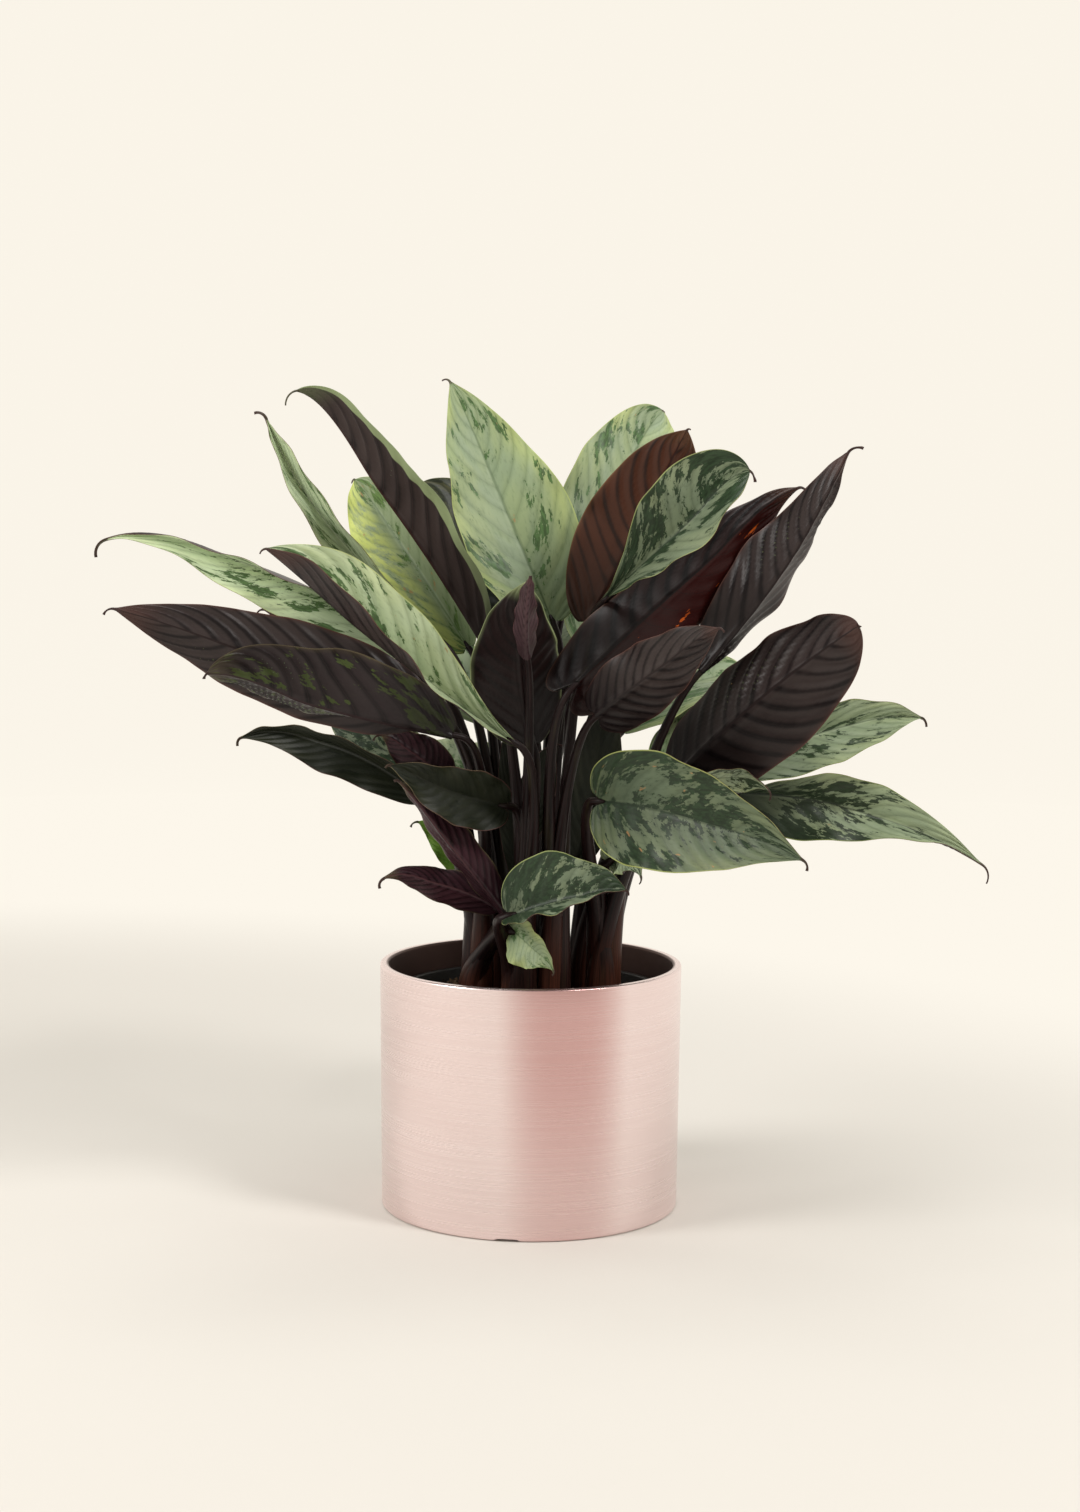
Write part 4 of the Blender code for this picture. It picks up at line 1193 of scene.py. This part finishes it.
class PLANT_OT_shoots(bpy.types.Operator):
    """Builds the leaf stalks of every shoot"""

    bl_idname = "plant.shoots"
    bl_label = "Shoots"

    def execute(self, context):
        surface = stalk_material()
        sides, steps = settings().stalk_sides, settings().stalk_steps
        for name, shoot in SHOOTS.items():
            own = [leaf for leaf in LEAVES.values() if leaf.shoot == name]
            points, faces, uv, seeds = shoot_mesh(shoot, own, sides, steps)
            obj = mesh_object("stalks_" + name, points, faces, uv, seed=seeds)
            finish_piece(obj, "shoot_" + name, "stalk", surface)
        return {"FINISHED"}


class PLANT_OT_blades(bpy.types.Operator):
    """Builds every leaf blade, silver green above and dark below"""

    bl_idname = "plant.blades"
    bl_label = "Blades"

    def execute(self, context):
        uppers = {name: upper_material(name, palette) for name, palette in UPPERS.items()}
        unders = {name: under_material(name, palette) for name, palette in UNDERS.items()}
        steps, strips = settings().blade_steps, settings().blade_strips
        for number, (name, leaf) in enumerate(LEAVES.items()):
            look = LOOKS.get(name, Look())
            seed = float(hashed(number + 1.0))
            points, faces, uv, slots = blade_mesh(leaf, look, seed, steps, strips)
            obj = mesh_object("blade_" + name, points, faces, uv, slots, seed)
            finish_piece(obj, "leaf_" + name, "blade", uppers[look.upper], unders[look.under])
        return {"FINISHED"}


class PLANT_OT_stage(bpy.types.Operator):
    """Builds the pale floor that rises into a round backdrop, the soft lights and the camera"""

    bl_idname = "plant.stage"
    bl_label = "Stage, lights and camera"

    def execute(self, context):
        scene = context.scene
        scene.view_settings.view_transform = "Standard"
        level = [(radius, 0) for radius in (AXIS_RADIUS, *FLOOR_RINGS, FLOOR_RADIUS)]
        sweep = arc(FLOOR_RADIUS, SWEEP_RADIUS, SWEEP_RADIUS, -90, 0, 16)
        points, faces = stage_bowl(level + sweep + [BACKDROP_TOP], STAGE_SIDES)
        floor = mesh_object("stage_floor", points, faces)
        floor.data.materials.append(stage_material())

        add_light("key_light", KEY_PLACE, KEY_SIZE, settings().key_power)
        add_light("left_light", LEFT_PLACE, LEFT_SIZE, LEFT_POWER)
        add_light("top_light", TOP_PLACE, TOP_SIZE, TOP_POWER)
        world = bpy.data.worlds.new("stage_world")
        world.use_nodes = True
        air = world.node_tree.nodes["Background"]
        air.inputs["Color"].default_value = AIR_COLOUR
        air.inputs["Strength"].default_value = AIR_STRENGTH
        scene.world = world

        data = bpy.data.cameras.new("photo_camera")
        data.sensor_width = CAMERA_SENSOR
        data.lens = CAMERA_LENS
        data.clip_start, data.clip_end = CAMERA_CLIP
        camera = bpy.data.objects.new("photo_camera", data)
        camera.location = Vector(CAMERA_PLACE) * MM
        pitch = Euler((radians(90 - CAMERA_PITCH), 0, 0)).to_matrix()
        roll = Euler((0, 0, radians(CAMERA_ROLL))).to_matrix()
        camera.rotation_euler = (pitch @ roll).to_euler()
        scene.collection.objects.link(camera)
        scene.camera = camera
        return {"FINISHED"}


def add_light(name, place, size, power):
    """A round soft light that looks at the middle of the plant."""
    data = bpy.data.lights.new(name, "AREA")
    data.shape = "DISK"
    data.size = size
    data.energy = power
    data.color = LIGHT_COLOUR
    light = bpy.data.objects.new(name, data)
    light.location = place
    light.rotation_euler = (Vector(LIGHT_TARGET) - Vector(place)).to_track_quat("-Z", "Y").to_euler()
    bpy.context.scene.collection.objects.link(light)


class PLANT_PT_panel(bpy.types.Panel):
    """Lists the settings and the operators that build the pieces"""

    bl_label = "Potted apoballis"
    bl_idname = "PLANT_PT_panel"
    bl_space_type = "VIEW_3D"
    bl_region_type = "UI"
    bl_category = "Plant"

    def draw(self, context):
        for name in PlantSettings.__annotations__:
            self.layout.prop(context.scene.plant_settings, name)
        for operator in OPERATORS:
            self.layout.operator(operator.bl_idname)


OPERATORS = (
    PLANT_OT_stage,
    PLANT_OT_planter,
    PLANT_OT_grower,
    PLANT_OT_soil,
    PLANT_OT_shoots,
    PLANT_OT_blades,
)
CLASSES = (PlantSettings, *OPERATORS, PLANT_PT_panel)


def register():
    for kind in CLASSES:
        bpy.utils.register_class(kind)
    bpy.types.Scene.plant_settings = bpy.props.PointerProperty(type=PlantSettings)


def unregister():
    del bpy.types.Scene.plant_settings
    for kind in reversed(CLASSES):
        bpy.utils.unregister_class(kind)


def main():
    register()
    bpy.ops.plant.stage()
    bpy.ops.plant.planter()
    bpy.ops.plant.grower()
    bpy.ops.plant.soil()
    bpy.ops.plant.shoots()
    bpy.ops.plant.blades()


if __name__ == "__main__":
    main()
